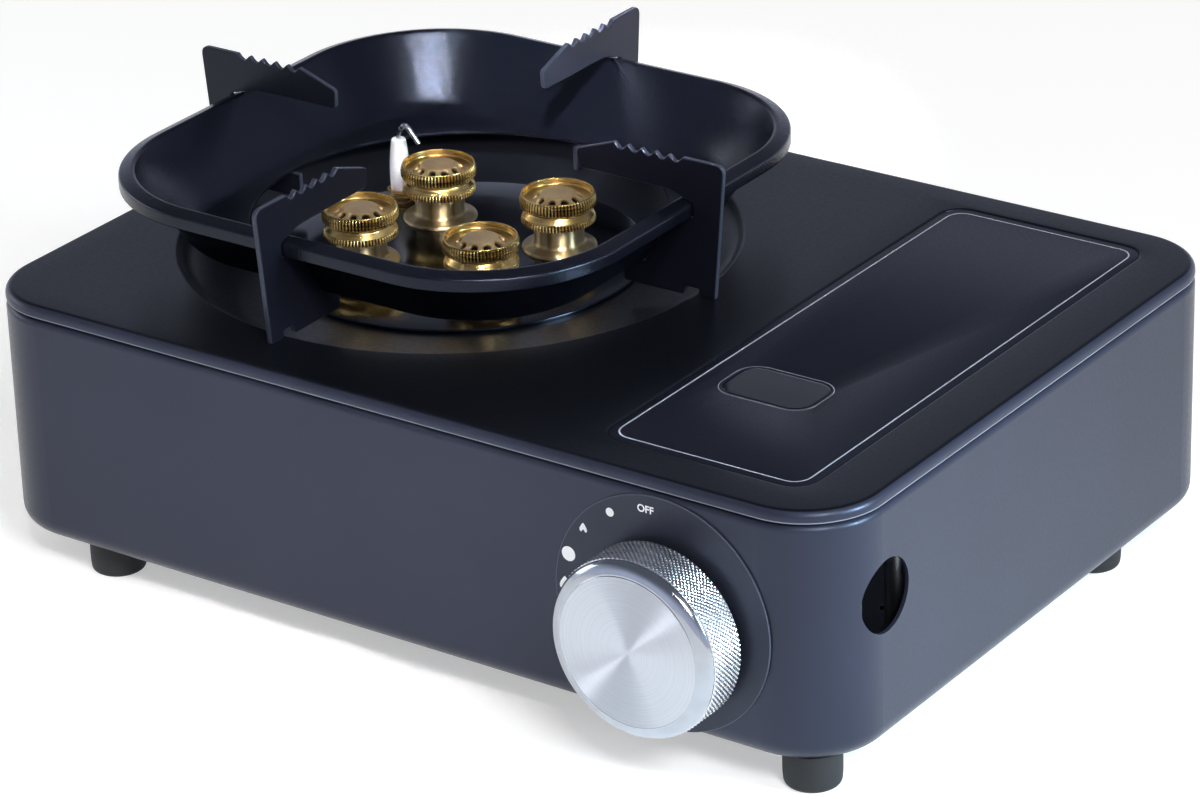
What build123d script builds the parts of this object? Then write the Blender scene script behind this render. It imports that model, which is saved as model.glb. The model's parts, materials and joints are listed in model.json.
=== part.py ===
from build123d import *
import os
from math import cos, sin, radians, pi

os.makedirs("parts", exist_ok=True)

# Portable gas stove with a four-headed burner, a lift-off wind bowl and a cartridge bay.
# Millimetres. The frame's origin is the middle of the footprint, knob included, on the table.
# +X is to the right, +Y to the back and +Z up.

# Sheet metal and fits
SHEET = 1.0
FIT = 0.05
LOOSE = 0.3

# Body: its width follows from what stands side by side in it
DISH_FROM_LEFT = 91.5
DISH_TO_KNOB = 133.9
KNOB_FROM_RIGHT = 49.6
BODY_WIDTH = DISH_FROM_LEFT + DISH_TO_KNOB + KNOB_FROM_RIGHT
BODY_DEPTH = 197.0
CORNER_RADIUS = 22.0
TRAY_HEIGHT = 66.1
FLOOR_BEND = 5.5
SHOULDER_BEND = 2.0
FLANGE = 6.0
SKIRT_HEIGHT = 3.9
TOP_BEND = 3.2

# Feet
FOOT_HEIGHT = 10.5
FOOT_RADIUS = 7.7
FOOT_FROM_RIGHT = 15.5
FOOT_FROM_LEFT = 33.5
FOOT_FROM_FRONT = 13.5
FOOT_FROM_BACK = 42.5
FOOT_EDGE = 1.5

# Knob, seen from the front
KNOB_X = BODY_WIDTH / 2 - KNOB_FROM_RIGHT
KNOB_Z = 40.4
KNOB_RADIUS = 23.9
KNOB_GAP = 2.3
KNURL_LENGTH = 13.0
KNOB_CHAMFER = 2.1
KNOB_FACE_RADIUS = 19.4
KNOB_REACH = KNOB_GAP + KNURL_LENGTH + KNOB_CHAMFER
SHAFT_RADIUS = 4.0
SHAFT_FLAT = 3.0
SHAFT_HOLE = 7.0
SOCKET_DEPTH = 10.0
GRUB_SINK = 1.5
DIAL_LEFT = 0.6
DIAL_RISE = 3.2
DIAL_RADIUS = 31.7
DIAL_THICK = 0.6

# Levels and edges that follow from the sizes above
FRONT_Y = (KNOB_REACH - BODY_DEPTH) / 2
BACK_Y = (KNOB_REACH + BODY_DEPTH) / 2
MID_Y = KNOB_REACH / 2
FLOOR_TOP = FOOT_HEIGHT + SHEET
TRAY_TOP = FOOT_HEIGHT + TRAY_HEIGHT
TOP_Z = TRAY_TOP + SKIRT_HEIGHT
TOP_UNDER = TOP_Z - SHEET

# Hole in the right wall
SIDE_HOLE_RADIUS = 10.0
SIDE_HOLE_IN = 24.3
SIDE_HOLE_Z = 51.6

# Inlay and its window over the cartridge
INLAY_RIGHT = 1.8
INLAY_WIDTH = 61.5
INLAY_FROM_FRONT = 13.5
INLAY_FROM_BACK = 11.5
INLAY_CORNER = 7.0
INLAY_THICK = 0.4
RECESS = 0.6
WINDOW_LEFT = 5.7
WINDOW_IN = 60.0
WINDOW_WIDTH = 27.0
WINDOW_DEPTH = 17.5
WINDOW_CORNER = 5.5

# Cartridge bay
PORT_RADIUS = 33.3
PORT_LIFT = 0.5
BAY_X = KNOB_X
CARTRIDGE_Z = FLOOR_TOP + PORT_LIFT + PORT_RADIUS

# Drip dish and burner plate
DISH_X = DISH_FROM_LEFT - BODY_WIDTH / 2
DISH_RADIUS = 78.0
DISH_DEPTH = 6.5
DISH_FLOOR_RADIUS = 53.0
DISH_HOLE_RADIUS = 48.0
PLATE_RADIUS = 51.5
PLATE_THICK = 1.0
DISH_FLOOR_Z = TOP_Z - DISH_DEPTH
PLATE_Z = DISH_FLOOR_Z + PLATE_THICK

# Burners
BURNER_DX = 20.4
BURNER_DY = 18.0
FLANGE_RADIUS = 10.4
FLANGE_EDGE = 0.6
FLANGE_HEIGHT = 2.6
STEM_RADIUS = 7.2
STEM_HEIGHT = 8.0
SPIGOT_RADIUS = 5.0
SPIGOT_HEIGHT = 3.0
TAIL_RADIUS = 4.5
TAIL_LENGTH = 9.0
GAS_BORE = 2.6
HEAD_RADIUS = 10.6
HEAD_HEIGHT = 8.3
LOW_RING = 1.4
GROOVE = 2.9
NECK_RADIUS = 8.7
TEETH = 64
TOOTH_DEPTH = 0.4
CUP_RADIUS = 9.7
CUP_DEPTH = 3.0
BUTTON_RADIUS = 5.2
BUTTON_DROP = 1.4
BUTTON_WALL = 1.3
CHAMBER_TAPER = 0.85
CONE_RADIUS = 7.0
PORTS = 9
PORT_HOLE = 1.1
HEAD_Z = PLATE_Z + STEM_HEIGHT
HEAD_TOP = HEAD_Z + HEAD_HEIGHT
BURNERS = (("front_left", -1, -1), ("front_right", 1, -1), ("back_right", 1, 1), ("back_left", -1, 1))

# Wind bowl: half sizes of its rounded squares
RIM_HALF = 77.8
RIM_CORNER = 43.0
BAND_LOW = 103.1
BAND_HIGH = 106.6
LIP_HALF = 73.2
LIP_CORNER = 39.0
LIP_Z = 108.0
BOWL_FLOOR_HALF = 61.0
BOWL_FLOOR_CORNER = 30.0
BOWL_FLOOR_Z = 88.0
BOWL_HOLE_RADIUS = 57.5
BOWL_UNDER = BOWL_FLOOR_Z - SHEET
WALL_SLOPE = (LIP_HALF - BOWL_FLOOR_HALF) / (LIP_Z - BOWL_FLOOR_Z)

# Pot-support fins: distances from the middle of the dish
FIN_THICK = 1.6
FIN_TOP = 119.3
FIN_OUT_TOP = 88.0
FIN_OUT_LOW = 84.4
FIN_FOOT_IN = 79.2
FIN_TIP = 40.5
FIN_TIP_Z = 115.0
FIN_ARM_GAP = 1.6
FIN_ARM_Z = LIP_Z + FIN_ARM_GAP
FIN_LEG_IN = 55.0
FIN_LEG_DROP = 0.6
FIN_LEG_LOW = TOP_Z - FIN_LEG_DROP
FIN_TOOTH_START = 75.0
FIN_TOOTH_END = 53.0
FIN_TEETH = 5
FIN_TOOTH_DEPTH = 1.6
FIN_CORNER = 2.5
FIN_TIP_EDGE = 0.8
FIN_LEG_EDGE = 1.5
FINS = (("right", 0), ("back", 90), ("left", 180), ("front", 270))

# Igniter beside the back left burner
IGNITER_LEFT = 37.5
IGNITER_BACK = 22.5
IGNITER_X = DISH_X - IGNITER_LEFT
IGNITER_Y = MID_Y + IGNITER_BACK
POST_RADIUS = 2.5
POST_TAIL = 12.0
POST_HEIGHT = 23.7
POST_TAPER = 2.0
COLLAR_RADIUS = 4.0
COLLAR_HEIGHT = 3.6
WIRE_RADIUS = 0.65
WIRE_RISE = 3.2
WIRE_REACH = 6.5
WIRE_DROP = 5.0
WIRE_BEND = 2.0
WIRE_TAIL = 3.0
POST_TIP_WALL = 0.8

# Gas valve behind the front wall, measured back from the front face
CAM_IN = 9.0
CAM_THICK = 4.0
CAM_RADIUS = 9.0
CAM_RISE_PER_DEGREE = 0.05
BRACKET_IN = 16.0
BRACKET_THICK = 1.5
BRACKET_LEFT = 52.0
BRACKET_RIGHT = 18.0
BRACKET_LEG = 15.0
BRACKET_ABOVE = 2.0
BRACKET_SCREW_IN = 7.0
NOSE_RADIUS = 9.0
VALVE_RADIUS = 14.0
VALVE_BACK_IN = 44.0
OUTLET_IN = 30.0
OUTLET_RADIUS = 6.0
OUTLET_REACH = 22.0
PIPE_SOCKET = 8.0
GUIDE_THICK = 1.5
GUIDE_RISE = 19.0
GUIDE_WIDTH = 40.0
GUIDE_LEAF = 21.0
GUIDE_CORNER = 3.0
MAGNET_RADIUS = 17.0
MAGNET_THICK = 5.0
INLET_RADIUS = 8.0

# Spark unit left of the cam
PLUNGER_RADIUS = 3.0
PLUNGER_LENGTH = 20.0
PLUNGER_OUT = 8.0
PLUNGER_TRAVEL = 5.5
UNIT_SIZE = 14.0
UNIT_LENGTH = 32.0
UNIT_EDGE = 2.0

# Gas pipe, jet, mixing tube and manifold
PIPE_RADIUS = 2.5
PIPE_BORE = 1.7
PIPE_BEND = 9.0
PIPE_Z = 60.0
PIPE_STUB = 14.0
PIPE_END = 5.0
JET_RADIUS = 3.5
JET_HEAD = 6.0
JET_BORE = 0.5
TUBE_RADIUS = 8.0
TUBE_WALL = 1.0
TUBE_CAP = 2.0
AIR_SLOT_IN = 7.0
AIR_SLOT = 8.0
MANIFOLD_WIDTH = 62.0
MANIFOLD_DEPTH = 58.0
MANIFOLD_HEIGHT = 24.0
MANIFOLD_CORNER = 10.0
MANIFOLD_WALL = 2.5

# Fasteners and posts
SCREW_RADIUS = 1.5
SCREW_HEAD = 3.4
SCREW_HEAD_HEIGHT = 2.0
DECK_POST_RADIUS = 3.5
DECK_POST_X = BODY_WIDTH / 2 - FLANGE - DECK_POST_RADIUS - LOOSE
DECK_POST_FROM_FRONT = 45.0
DECK_POST_FROM_BACK = 32.0
SCREW_GRIP = 9.0
NUT_RADIUS = 3.6
NUT_HEIGHT = 2.4
SCREW_PAST = 1.0

# Partition
PARTITION_GAP = 3.0
PARTITION_LEG = 9.0
PARTITION_START_IN = 62.0

# Front view plane at the knob: local x to the right, local y up, local z towards the user
FACE = Plane(origin=(KNOB_X, FRONT_Y, KNOB_Z), x_dir=(1, 0, 0), z_dir=(0, -1, 0))


def ring_points(outer, inner, count):
    """Corners of a toothed disc: tooth i runs from angle 2*pi*i/count over half a pitch."""
    points = []
    for i in range(count):
        start = 2 * pi * i / count
        for share, radius in ((0.0, outer), (0.4, outer), (0.6, inner), (0.9, inner)):
            angle = start + share * 2 * pi / count
            points.append((radius * cos(angle), radius * sin(angle)))
    return points


def cam_points():
    """Spiral cam r(a) = CAM_RADIUS + rise * (180 - a) for a from 75 to 180 degrees, else round."""
    points = []
    for step in range(72):
        angle = 5.0 * step
        radius = CAM_RADIUS
        if 75.0 <= angle <= 180.0:
            radius = CAM_RADIUS + CAM_RISE_PER_DEGREE * (180.0 - angle)
        points.append((radius * cos(radians(angle)), radius * sin(radians(angle))))
    return points


# Inside of the tray, used to hollow it
with BuildPart() as tray_inside:
    with BuildSketch(Plane.XY.offset(FLOOR_TOP)):
        with Locations((0, MID_Y)):
            RectangleRounded(BODY_WIDTH - 2 * SHEET, BODY_DEPTH - 2 * SHEET, CORNER_RADIUS - SHEET)
    extrude(amount=TRAY_HEIGHT - 2 * SHEET)
    fillet(tray_inside.edges().group_by(Axis.Z)[0], FLOOR_BEND - SHEET)
    fillet(tray_inside.edges().group_by(Axis.Z)[-1], SHOULDER_BEND - SHEET)

FEET = (
    ("front_left", FOOT_FROM_LEFT - BODY_WIDTH / 2, FRONT_Y + FOOT_FROM_FRONT),
    ("front_right", BODY_WIDTH / 2 - FOOT_FROM_RIGHT, FRONT_Y + FOOT_FROM_FRONT),
    ("back_right", BODY_WIDTH / 2 - FOOT_FROM_RIGHT, BACK_Y - FOOT_FROM_BACK),
    ("back_left", FOOT_FROM_LEFT - BODY_WIDTH / 2, BACK_Y - FOOT_FROM_BACK),
)
POSTS = (
    ("front_left", -DECK_POST_X, FRONT_Y + DECK_POST_FROM_FRONT),
    ("front_right", DECK_POST_X, FRONT_Y + DECK_POST_FROM_FRONT),
    ("back_right", DECK_POST_X, BACK_Y - DECK_POST_FROM_BACK),
    ("back_left", -DECK_POST_X, BACK_Y - DECK_POST_FROM_BACK),
)
BRACKET_SCREW_Y = FRONT_Y + BRACKET_IN + BRACKET_THICK + BRACKET_LEG / 2
BRACKET_SCREWS = (
    ("left", KNOB_X - BRACKET_LEFT + BRACKET_SCREW_IN),
    ("right", KNOB_X + BRACKET_RIGHT - BRACKET_SCREW_IN),
)

with BuildPart() as body_tray:
    with BuildSketch(Plane.XY.offset(FOOT_HEIGHT)):
        with Locations((0, MID_Y)):
            RectangleRounded(BODY_WIDTH, BODY_DEPTH, CORNER_RADIUS)
    extrude(amount=TRAY_HEIGHT)
    fillet(body_tray.edges().group_by(Axis.Z)[0], FLOOR_BEND)
    fillet(body_tray.edges().group_by(Axis.Z)[-1], SHOULDER_BEND)
    add(tray_inside.part, mode=Mode.SUBTRACT)
    with BuildSketch(Plane.XY.offset(TRAY_TOP - 2 * SHEET)):
        with Locations((0, MID_Y)):
            RectangleRounded(BODY_WIDTH - 2 * FLANGE, BODY_DEPTH - 2 * FLANGE, CORNER_RADIUS - FLANGE)
    extrude(amount=4 * SHEET, mode=Mode.SUBTRACT)
    with Locations(Location((KNOB_X, FRONT_Y, KNOB_Z), (90, 0, 0))):
        Cylinder(SHAFT_HOLE, 4 * SHEET, mode=Mode.SUBTRACT)
    with Locations(Location((BODY_WIDTH / 2, FRONT_Y + SIDE_HOLE_IN, SIDE_HOLE_Z), (0, 90, 0))):
        Cylinder(SIDE_HOLE_RADIUS, 4 * SHEET, mode=Mode.SUBTRACT)
    with Locations(Location((BAY_X, BACK_Y, CARTRIDGE_Z), (90, 0, 0))):
        Cylinder(PORT_RADIUS, 2 * FLANGE + 4 * SHEET, mode=Mode.SUBTRACT)
    for name, x, y in FEET + POSTS:
        with Locations((x, y, FOOT_HEIGHT)):
            Cylinder(SCREW_RADIUS + FIT, 4 * SHEET, mode=Mode.SUBTRACT)
    for name, x in BRACKET_SCREWS:
        with Locations((x, BRACKET_SCREW_Y, FOOT_HEIGHT)):
            Cylinder(SCREW_RADIUS + FIT, 4 * SHEET, mode=Mode.SUBTRACT)
body_tray.part.label = "body_tray"
export_step(body_tray.part, "parts/body_tray.step")

# Hollow under the top plate
with BuildPart() as plate_inside:
    with BuildSketch(Plane.XY.offset(TRAY_TOP)):
        with Locations((0, MID_Y)):
            RectangleRounded(BODY_WIDTH - 2 * SHEET, BODY_DEPTH - 2 * SHEET, CORNER_RADIUS - SHEET)
    extrude(amount=SKIRT_HEIGHT - SHEET)
    fillet(plate_inside.edges().group_by(Axis.Z)[-1], TOP_BEND - SHEET)

INLAY_DEPTH = BODY_DEPTH - INLAY_FROM_FRONT - INLAY_FROM_BACK
INLAY_X = KNOB_X + INLAY_RIGHT
INLAY_Y = FRONT_Y + INLAY_FROM_FRONT + INLAY_DEPTH / 2
WINDOW_X = KNOB_X - WINDOW_LEFT
WINDOW_Y = FRONT_Y + WINDOW_IN

with BuildPart() as top_plate:
    with BuildSketch(Plane.XY.offset(TRAY_TOP)):
        with Locations((0, MID_Y)):
            RectangleRounded(BODY_WIDTH, BODY_DEPTH, CORNER_RADIUS)
    extrude(amount=SKIRT_HEIGHT)
    fillet(top_plate.edges().group_by(Axis.Z)[-1], TOP_BEND)
    add(plate_inside.part, mode=Mode.SUBTRACT)
    with BuildSketch(Plane.XY.offset(TOP_UNDER - RECESS)):
        with Locations((INLAY_X, INLAY_Y)):
            RectangleRounded(INLAY_WIDTH + 2 * SHEET, INLAY_DEPTH + 2 * SHEET, INLAY_CORNER + SHEET)
    extrude(amount=RECESS)
    with BuildSketch(Plane.XY.offset(TOP_Z - RECESS)):
        with Locations((INLAY_X, INLAY_Y)):
            RectangleRounded(INLAY_WIDTH, INLAY_DEPTH, INLAY_CORNER)
    extrude(amount=2 * RECESS, mode=Mode.SUBTRACT)
    with BuildSketch(Plane.XY.offset(TOP_UNDER - 2 * RECESS)):
        with Locations((WINDOW_X, WINDOW_Y)):
            RectangleRounded(WINDOW_WIDTH, WINDOW_DEPTH, WINDOW_CORNER)
    extrude(amount=4 * SHEET, mode=Mode.SUBTRACT)
    with Locations((DISH_X, MID_Y, TOP_Z)):
        Cylinder(DISH_RADIUS, 4 * SHEET, mode=Mode.SUBTRACT)
    with BuildSketch(Plane(origin=(DISH_X, MID_Y, 0), x_dir=(1, 0, 0), z_dir=(0, -1, 0))):
        Polygon(
            (DISH_RADIUS + SHEET, TOP_Z),
            (DISH_RADIUS + SHEET, TOP_UNDER),
            (DISH_RADIUS, TOP_UNDER),
            (DISH_FLOOR_RADIUS, DISH_FLOOR_Z - SHEET),
            (DISH_HOLE_RADIUS, DISH_FLOOR_Z - SHEET),
            (DISH_HOLE_RADIUS, DISH_FLOOR_Z),
            (DISH_FLOOR_RADIUS, DISH_FLOOR_Z),
            (DISH_RADIUS, TOP_Z),
            align=None,
        )
    revolve(axis=Axis((DISH_X, MID_Y, 0), (0, 0, 1)))
    with Locations(Location((BAY_X, BACK_Y, CARTRIDGE_Z), (90, 0, 0))):
        Cylinder(PORT_RADIUS, 4 * SHEET, mode=Mode.SUBTRACT)
top_plate.part.label = "top_plate"
export_step(top_plate.part, "parts/top_plate.step")

with BuildPart() as inlay_plate:
    with BuildSketch(Plane.XY.offset(TOP_Z - RECESS)):
        with Locations((INLAY_X, INLAY_Y)):
            RectangleRounded(INLAY_WIDTH - 2 * FIT, INLAY_DEPTH - 2 * FIT, INLAY_CORNER - FIT)
        with Locations((WINDOW_X, WINDOW_Y)):
            RectangleRounded(WINDOW_WIDTH, WINDOW_DEPTH, WINDOW_CORNER, mode=Mode.SUBTRACT)
    extrude(amount=INLAY_THICK)
inlay_plate.part.label = "inlay_plate"
export_step(inlay_plate.part, "parts/inlay_plate.step")

# Clear lens in the window, level with the inlay
with BuildPart() as sight_window:
    with BuildSketch(Plane.XY.offset(TOP_UNDER - RECESS)):
        with Locations((WINDOW_X, WINDOW_Y)):
            RectangleRounded(WINDOW_WIDTH - 2 * FIT, WINDOW_DEPTH - 2 * FIT, WINDOW_CORNER - FIT)
    extrude(amount=SHEET + INLAY_THICK)
sight_window.part.label = "sight_window"
export_step(sight_window.part, "parts/sight_window.step")

with BuildPart() as burner_plate:
    with BuildSketch(Plane.XY.offset(DISH_FLOOR_Z)):
        with Locations((DISH_X, MID_Y)):
            Circle(PLATE_RADIUS)
        for name, side_x, side_y in BURNERS:
            with Locations((DISH_X + side_x * BURNER_DX, MID_Y + side_y * BURNER_DY)):
                Circle(TAIL_RADIUS + FIT, mode=Mode.SUBTRACT)
        with Locations((IGNITER_X, IGNITER_Y)):
            Circle(POST_RADIUS + FIT, mode=Mode.SUBTRACT)
    extrude(amount=PLATE_THICK)
burner_plate.part.label = "burner_plate"
export_step(burner_plate.part, "parts/burner_plate.step")

# One burner stem about the Z axis
with BuildPart() as stem_shape:
    with BuildSketch(Plane.XZ):
        Polygon(
            (GAS_BORE, PLATE_Z - TAIL_LENGTH),
            (TAIL_RADIUS, PLATE_Z - TAIL_LENGTH),
            (TAIL_RADIUS, PLATE_Z),
            (FLANGE_RADIUS, PLATE_Z),
            (FLANGE_RADIUS, PLATE_Z + FLANGE_EDGE),
            (STEM_RADIUS, PLATE_Z + FLANGE_HEIGHT),
            (STEM_RADIUS, HEAD_Z),
            (SPIGOT_RADIUS, HEAD_Z),
            (SPIGOT_RADIUS, HEAD_Z + SPIGOT_HEIGHT),
            (GAS_BORE, HEAD_Z + SPIGOT_HEIGHT),
            align=None,
        )
    revolve(axis=Axis.Z)

# One burner head about the Z axis
CHAMBER_RADIUS = SPIGOT_RADIUS + FIT
CHAMBER_STEP = HEAD_Z + SPIGOT_HEIGHT + FIT
CHAMBER_TOP = HEAD_TOP - BUTTON_DROP - BUTTON_WALL
CUP_FLOOR = HEAD_TOP - CUP_DEPTH
RING_LOW = HEAD_Z + LOW_RING
RING_HIGH = RING_LOW + GROOVE
CONE_RUN = CONE_RADIUS - BUTTON_RADIUS
CONE_RISE = CUP_DEPTH - BUTTON_DROP
with BuildPart() as head_shape:
    with BuildSketch(Plane.XY.offset(HEAD_Z)):
        Polygon(*ring_points(HEAD_RADIUS, HEAD_RADIUS - TOOTH_DEPTH, TEETH), align=None)
    extrude(amount=LOW_RING)
    with BuildSketch(Plane.XY.offset(RING_HIGH)):
        Polygon(*ring_points(HEAD_RADIUS, HEAD_RADIUS - TOOTH_DEPTH, TEETH), align=None)
    extrude(amount=HEAD_TOP - RING_HIGH)
    with BuildSketch(Plane.XZ):
        Polygon(
            (0, HEAD_Z),
            (HEAD_RADIUS - 2 * TOOTH_DEPTH, HEAD_Z),
            (HEAD_RADIUS - 2 * TOOTH_DEPTH, RING_LOW),
            (NECK_RADIUS, RING_LOW + GROOVE / 2),
            (HEAD_RADIUS - 2 * TOOTH_DEPTH, RING_HIGH),
            (HEAD_RADIUS - 2 * TOOTH_DEPTH, HEAD_TOP),
            (0, HEAD_TOP),
            align=None,
        )
    revolve(axis=Axis.Z)
    with BuildSketch(Plane.XZ):
        Polygon(
            (0, HEAD_TOP + SHEET),
            (CUP_RADIUS, HEAD_TOP + SHEET),
            (CUP_RADIUS, CUP_FLOOR),
            (CONE_RADIUS, CUP_FLOOR),
            (BUTTON_RADIUS, HEAD_TOP - BUTTON_DROP),
            (0, HEAD_TOP - BUTTON_DROP),
            align=None,
        )
    revolve(axis=Axis.Z, mode=Mode.SUBTRACT)
    with BuildSketch(Plane.XZ):
        Polygon(
            (0, HEAD_Z - SHEET),
            (CHAMBER_RADIUS, HEAD_Z - SHEET),
            (CHAMBER_RADIUS, CHAMBER_STEP),
            (CHAMBER_RADIUS - CHAMBER_TAPER, CHAMBER_TOP),
            (0, CHAMBER_TOP),
            align=None,
        )
    revolve(axis=Axis.Z, mode=Mode.SUBTRACT)
    for i in range(PORTS):
        turn = 2 * pi * i / PORTS
        middle = (CONE_RADIUS + BUTTON_RADIUS) / 2
        origin = (middle * cos(turn), middle * sin(turn), CUP_FLOOR + CONE_RISE / 2)
        outward = (CONE_RISE * cos(turn), CONE_RISE * sin(turn), CONE_RUN)
        with Locations(Plane(origin=origin, z_dir=outward).location):
            Cylinder(PORT_HOLE, 2 * CUP_DEPTH, mode=Mode.SUBTRACT)

for name, side_x, side_y in BURNERS:
    place = (DISH_X + side_x * BURNER_DX, MID_Y + side_y * BURNER_DY, 0)
    with BuildPart() as burner_stem:
        with Locations(place):
            add(stem_shape.part)
    burner_stem.part.label = "burner_stem_" + name
    export_step(burner_stem.part, "parts/burner_stem_" + name + ".step")
    with BuildPart() as burner_head:
        with Locations(place):
            add(head_shape.part)
    burner_head.part.label = "burner_head_" + name
    export_step(burner_head.part, "parts/burner_head_" + name + ".step")

# Igniter
POST_TOP = PLATE_Z + POST_HEIGHT
with BuildPart() as igniter_post:
    with BuildSketch(Plane(origin=(IGNITER_X, IGNITER_Y, 0), x_dir=(1, 0, 0), z_dir=(0, -1, 0))):
        Polygon(
            (WIRE_RADIUS + FIT, DISH_FLOOR_Z - POST_TAIL),
            (POST_RADIUS, DISH_FLOOR_Z - POST_TAIL),
            (POST_RADIUS, POST_TOP - POST_TAPER),
            (WIRE_RADIUS + POST_TIP_WALL, POST_TOP),
            (WIRE_RADIUS + FIT, POST_TOP),
            align=None,
        )
    revolve(axis=Axis((IGNITER_X, IGNITER_Y, 0), (0, 0, 1)))
igniter_post.part.label = "igniter_post"
export_step(igniter_post.part, "parts/igniter_post.step")

with BuildPart() as igniter_collar:
    with BuildSketch(Plane.XY.offset(PLATE_Z)):
        with Locations((IGNITER_X, IGNITER_Y)):
            RegularPolygon(COLLAR_RADIUS, 6)
            Circle(POST_RADIUS + FIT, mode=Mode.SUBTRACT)
    extrude(amount=COLLAR_HEIGHT)
igniter_collar.part.label = "igniter_collar"
export_step(igniter_collar.part, "parts/igniter_collar.step")

WIRE_LOW = DISH_FLOOR_Z - POST_TAIL - WIRE_TAIL
WIRE_TOP = POST_TOP + WIRE_RISE
with BuildPart() as igniter_wire:
    with BuildLine() as wire_path:
        FilletPolyline(
            (IGNITER_X, IGNITER_Y, WIRE_LOW),
            (IGNITER_X, IGNITER_Y, WIRE_TOP),
            (IGNITER_X + WIRE_REACH, IGNITER_Y, WIRE_TOP),
            (IGNITER_X + WIRE_REACH, IGNITER_Y, WIRE_TOP - WIRE_DROP),
            radius=WIRE_BEND,
        )
    with BuildSketch(Plane(origin=(IGNITER_X, IGNITER_Y, WIRE_LOW), z_dir=(0, 0, 1))):
        Circle(WIRE_RADIUS)
    sweep(path=wire_path.wires()[0])
igniter_wire.part.label = "igniter_wire"
export_step(igniter_wire.part, "parts/igniter_wire.step")

# Wind bowl
def rounded_square(half, corner, level):
    """Sketch of a rounded square about the dish axis at the given height."""
    with BuildSketch(Plane.XY.offset(level)) as outline:
        with Locations((DISH_X, MID_Y)):
            RectangleRounded(2 * half, 2 * half, corner)
    return outline.sketch


SIDE = SHEET * (1 + WALL_SLOPE * WALL_SLOPE) ** 0.5
with BuildPart() as wind_bowl:
    extrude(rounded_square(RIM_HALF, RIM_CORNER, BAND_LOW), amount=BAND_HIGH - BAND_LOW)
    loft([rounded_square(RIM_HALF, RIM_CORNER, BAND_HIGH),
          rounded_square(LIP_HALF + SHEET / 2, LIP_CORNER, LIP_Z)])
    extrude(rounded_square(RIM_HALF - SHEET, RIM_CORNER - SHEET, BAND_LOW),
            amount=BAND_HIGH - BAND_LOW - SHEET, mode=Mode.SUBTRACT)
    loft([rounded_square(BOWL_FLOOR_HALF + SIDE - WALL_SLOPE * SHEET, BOWL_FLOOR_CORNER, BOWL_UNDER),
          rounded_square(LIP_HALF + SIDE - WALL_SLOPE * SHEET, LIP_CORNER, LIP_Z - SHEET)])
    loft([rounded_square(BOWL_FLOOR_HALF, BOWL_FLOOR_CORNER - SHEET, BOWL_FLOOR_Z),
          rounded_square(LIP_HALF + WALL_SLOPE * SHEET, LIP_CORNER - SHEET, LIP_Z + SHEET)], mode=Mode.SUBTRACT)
    with Locations((DISH_X, MID_Y, BOWL_FLOOR_Z)):
        Cylinder(BOWL_HOLE_RADIUS, 4 * SHEET, mode=Mode.SUBTRACT)
wind_bowl.part.label = "wind_bowl"
export_step(wind_bowl.part, "parts/wind_bowl.step")

# Pot-support fins
WALL_LOW = BOWL_FLOOR_HALF + SIDE - WALL_SLOPE * SHEET + LOOSE
TOOTH_PITCH = (FIN_TOOTH_START - FIN_TOOTH_END) / FIN_TEETH


def fin_outline():
    """Fin corners in distance from the dish axis and height, round from the foot."""
    step = 2 * SHEET
    wall_high = WALL_LOW + WALL_SLOPE * (BAND_LOW - LOOSE - BOWL_UNDER)
    points = [
        (FIN_FOOT_IN, TOP_Z),
        (FIN_OUT_LOW, TOP_Z),
        (FIN_OUT_TOP, FIN_TOP - FIN_CORNER),
        (FIN_OUT_TOP - 0.3 * FIN_CORNER, FIN_TOP - 0.3 * FIN_CORNER),
        (FIN_OUT_TOP - FIN_CORNER, FIN_TOP),
    ]
    for i in range(FIN_TEETH):
        start = FIN_TOOTH_START - i * TOOTH_PITCH
        for share, depth in ((0.0, 0.0), (0.12, 0.7), (0.3, 1.0), (0.5, 0.7), (0.62, 0.0)):
            points.append((start - share * TOOTH_PITCH, FIN_TOP - depth * FIN_TOOTH_DEPTH))
    points += [
        (FIN_TOOTH_END, FIN_TOP),
        (FIN_TIP + FIN_TIP_EDGE, FIN_TIP_Z),
        (FIN_TIP, FIN_TIP_Z - FIN_TIP_EDGE),
        (FIN_TIP + FIN_TIP_EDGE, FIN_ARM_Z + FIN_TIP_EDGE / 2),
        (FIN_TIP + 2 * FIN_TIP_EDGE, FIN_ARM_Z),
        (LIP_HALF - LOOSE, FIN_ARM_Z),
        (RIM_HALF + LOOSE, BAND_HIGH + 2 * LOOSE),
        (RIM_HALF + LOOSE, BAND_LOW - LOOSE),
        (wall_high, BAND_LOW - LOOSE),
        (WALL_LOW, BOWL_UNDER),
        (FIN_LEG_IN + FIN_LEG_EDGE, BOWL_UNDER),
        (FIN_LEG_IN, BOWL_UNDER - FIN_LEG_EDGE),
        (FIN_LEG_IN, FIN_LEG_LOW + FIN_LEG_EDGE),
        (FIN_LEG_IN + FIN_LEG_EDGE, FIN_LEG_LOW),
        (FIN_FOOT_IN - 2.5 * step, FIN_LEG_LOW),
        (FIN_FOOT_IN - 2.0 * step, TOP_Z + step),
        (FIN_FOOT_IN, TOP_Z + step),
    ]
    return points


for name, turn in FINS:
    with BuildPart() as fin:
        with BuildSketch(Plane.XZ):
            Polygon(*fin_outline(), align=None)
        extrude(amount=FIN_THICK / 2, both=True)
    with BuildPart() as placed_fin:
        with Locations(Location((DISH_X, MID_Y, 0), (0, 0, turn))):
            add(fin.part)
    placed_fin.part.label = "fin_" + name
    export_step(placed_fin.part, "parts/fin_" + name + ".step")

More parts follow.
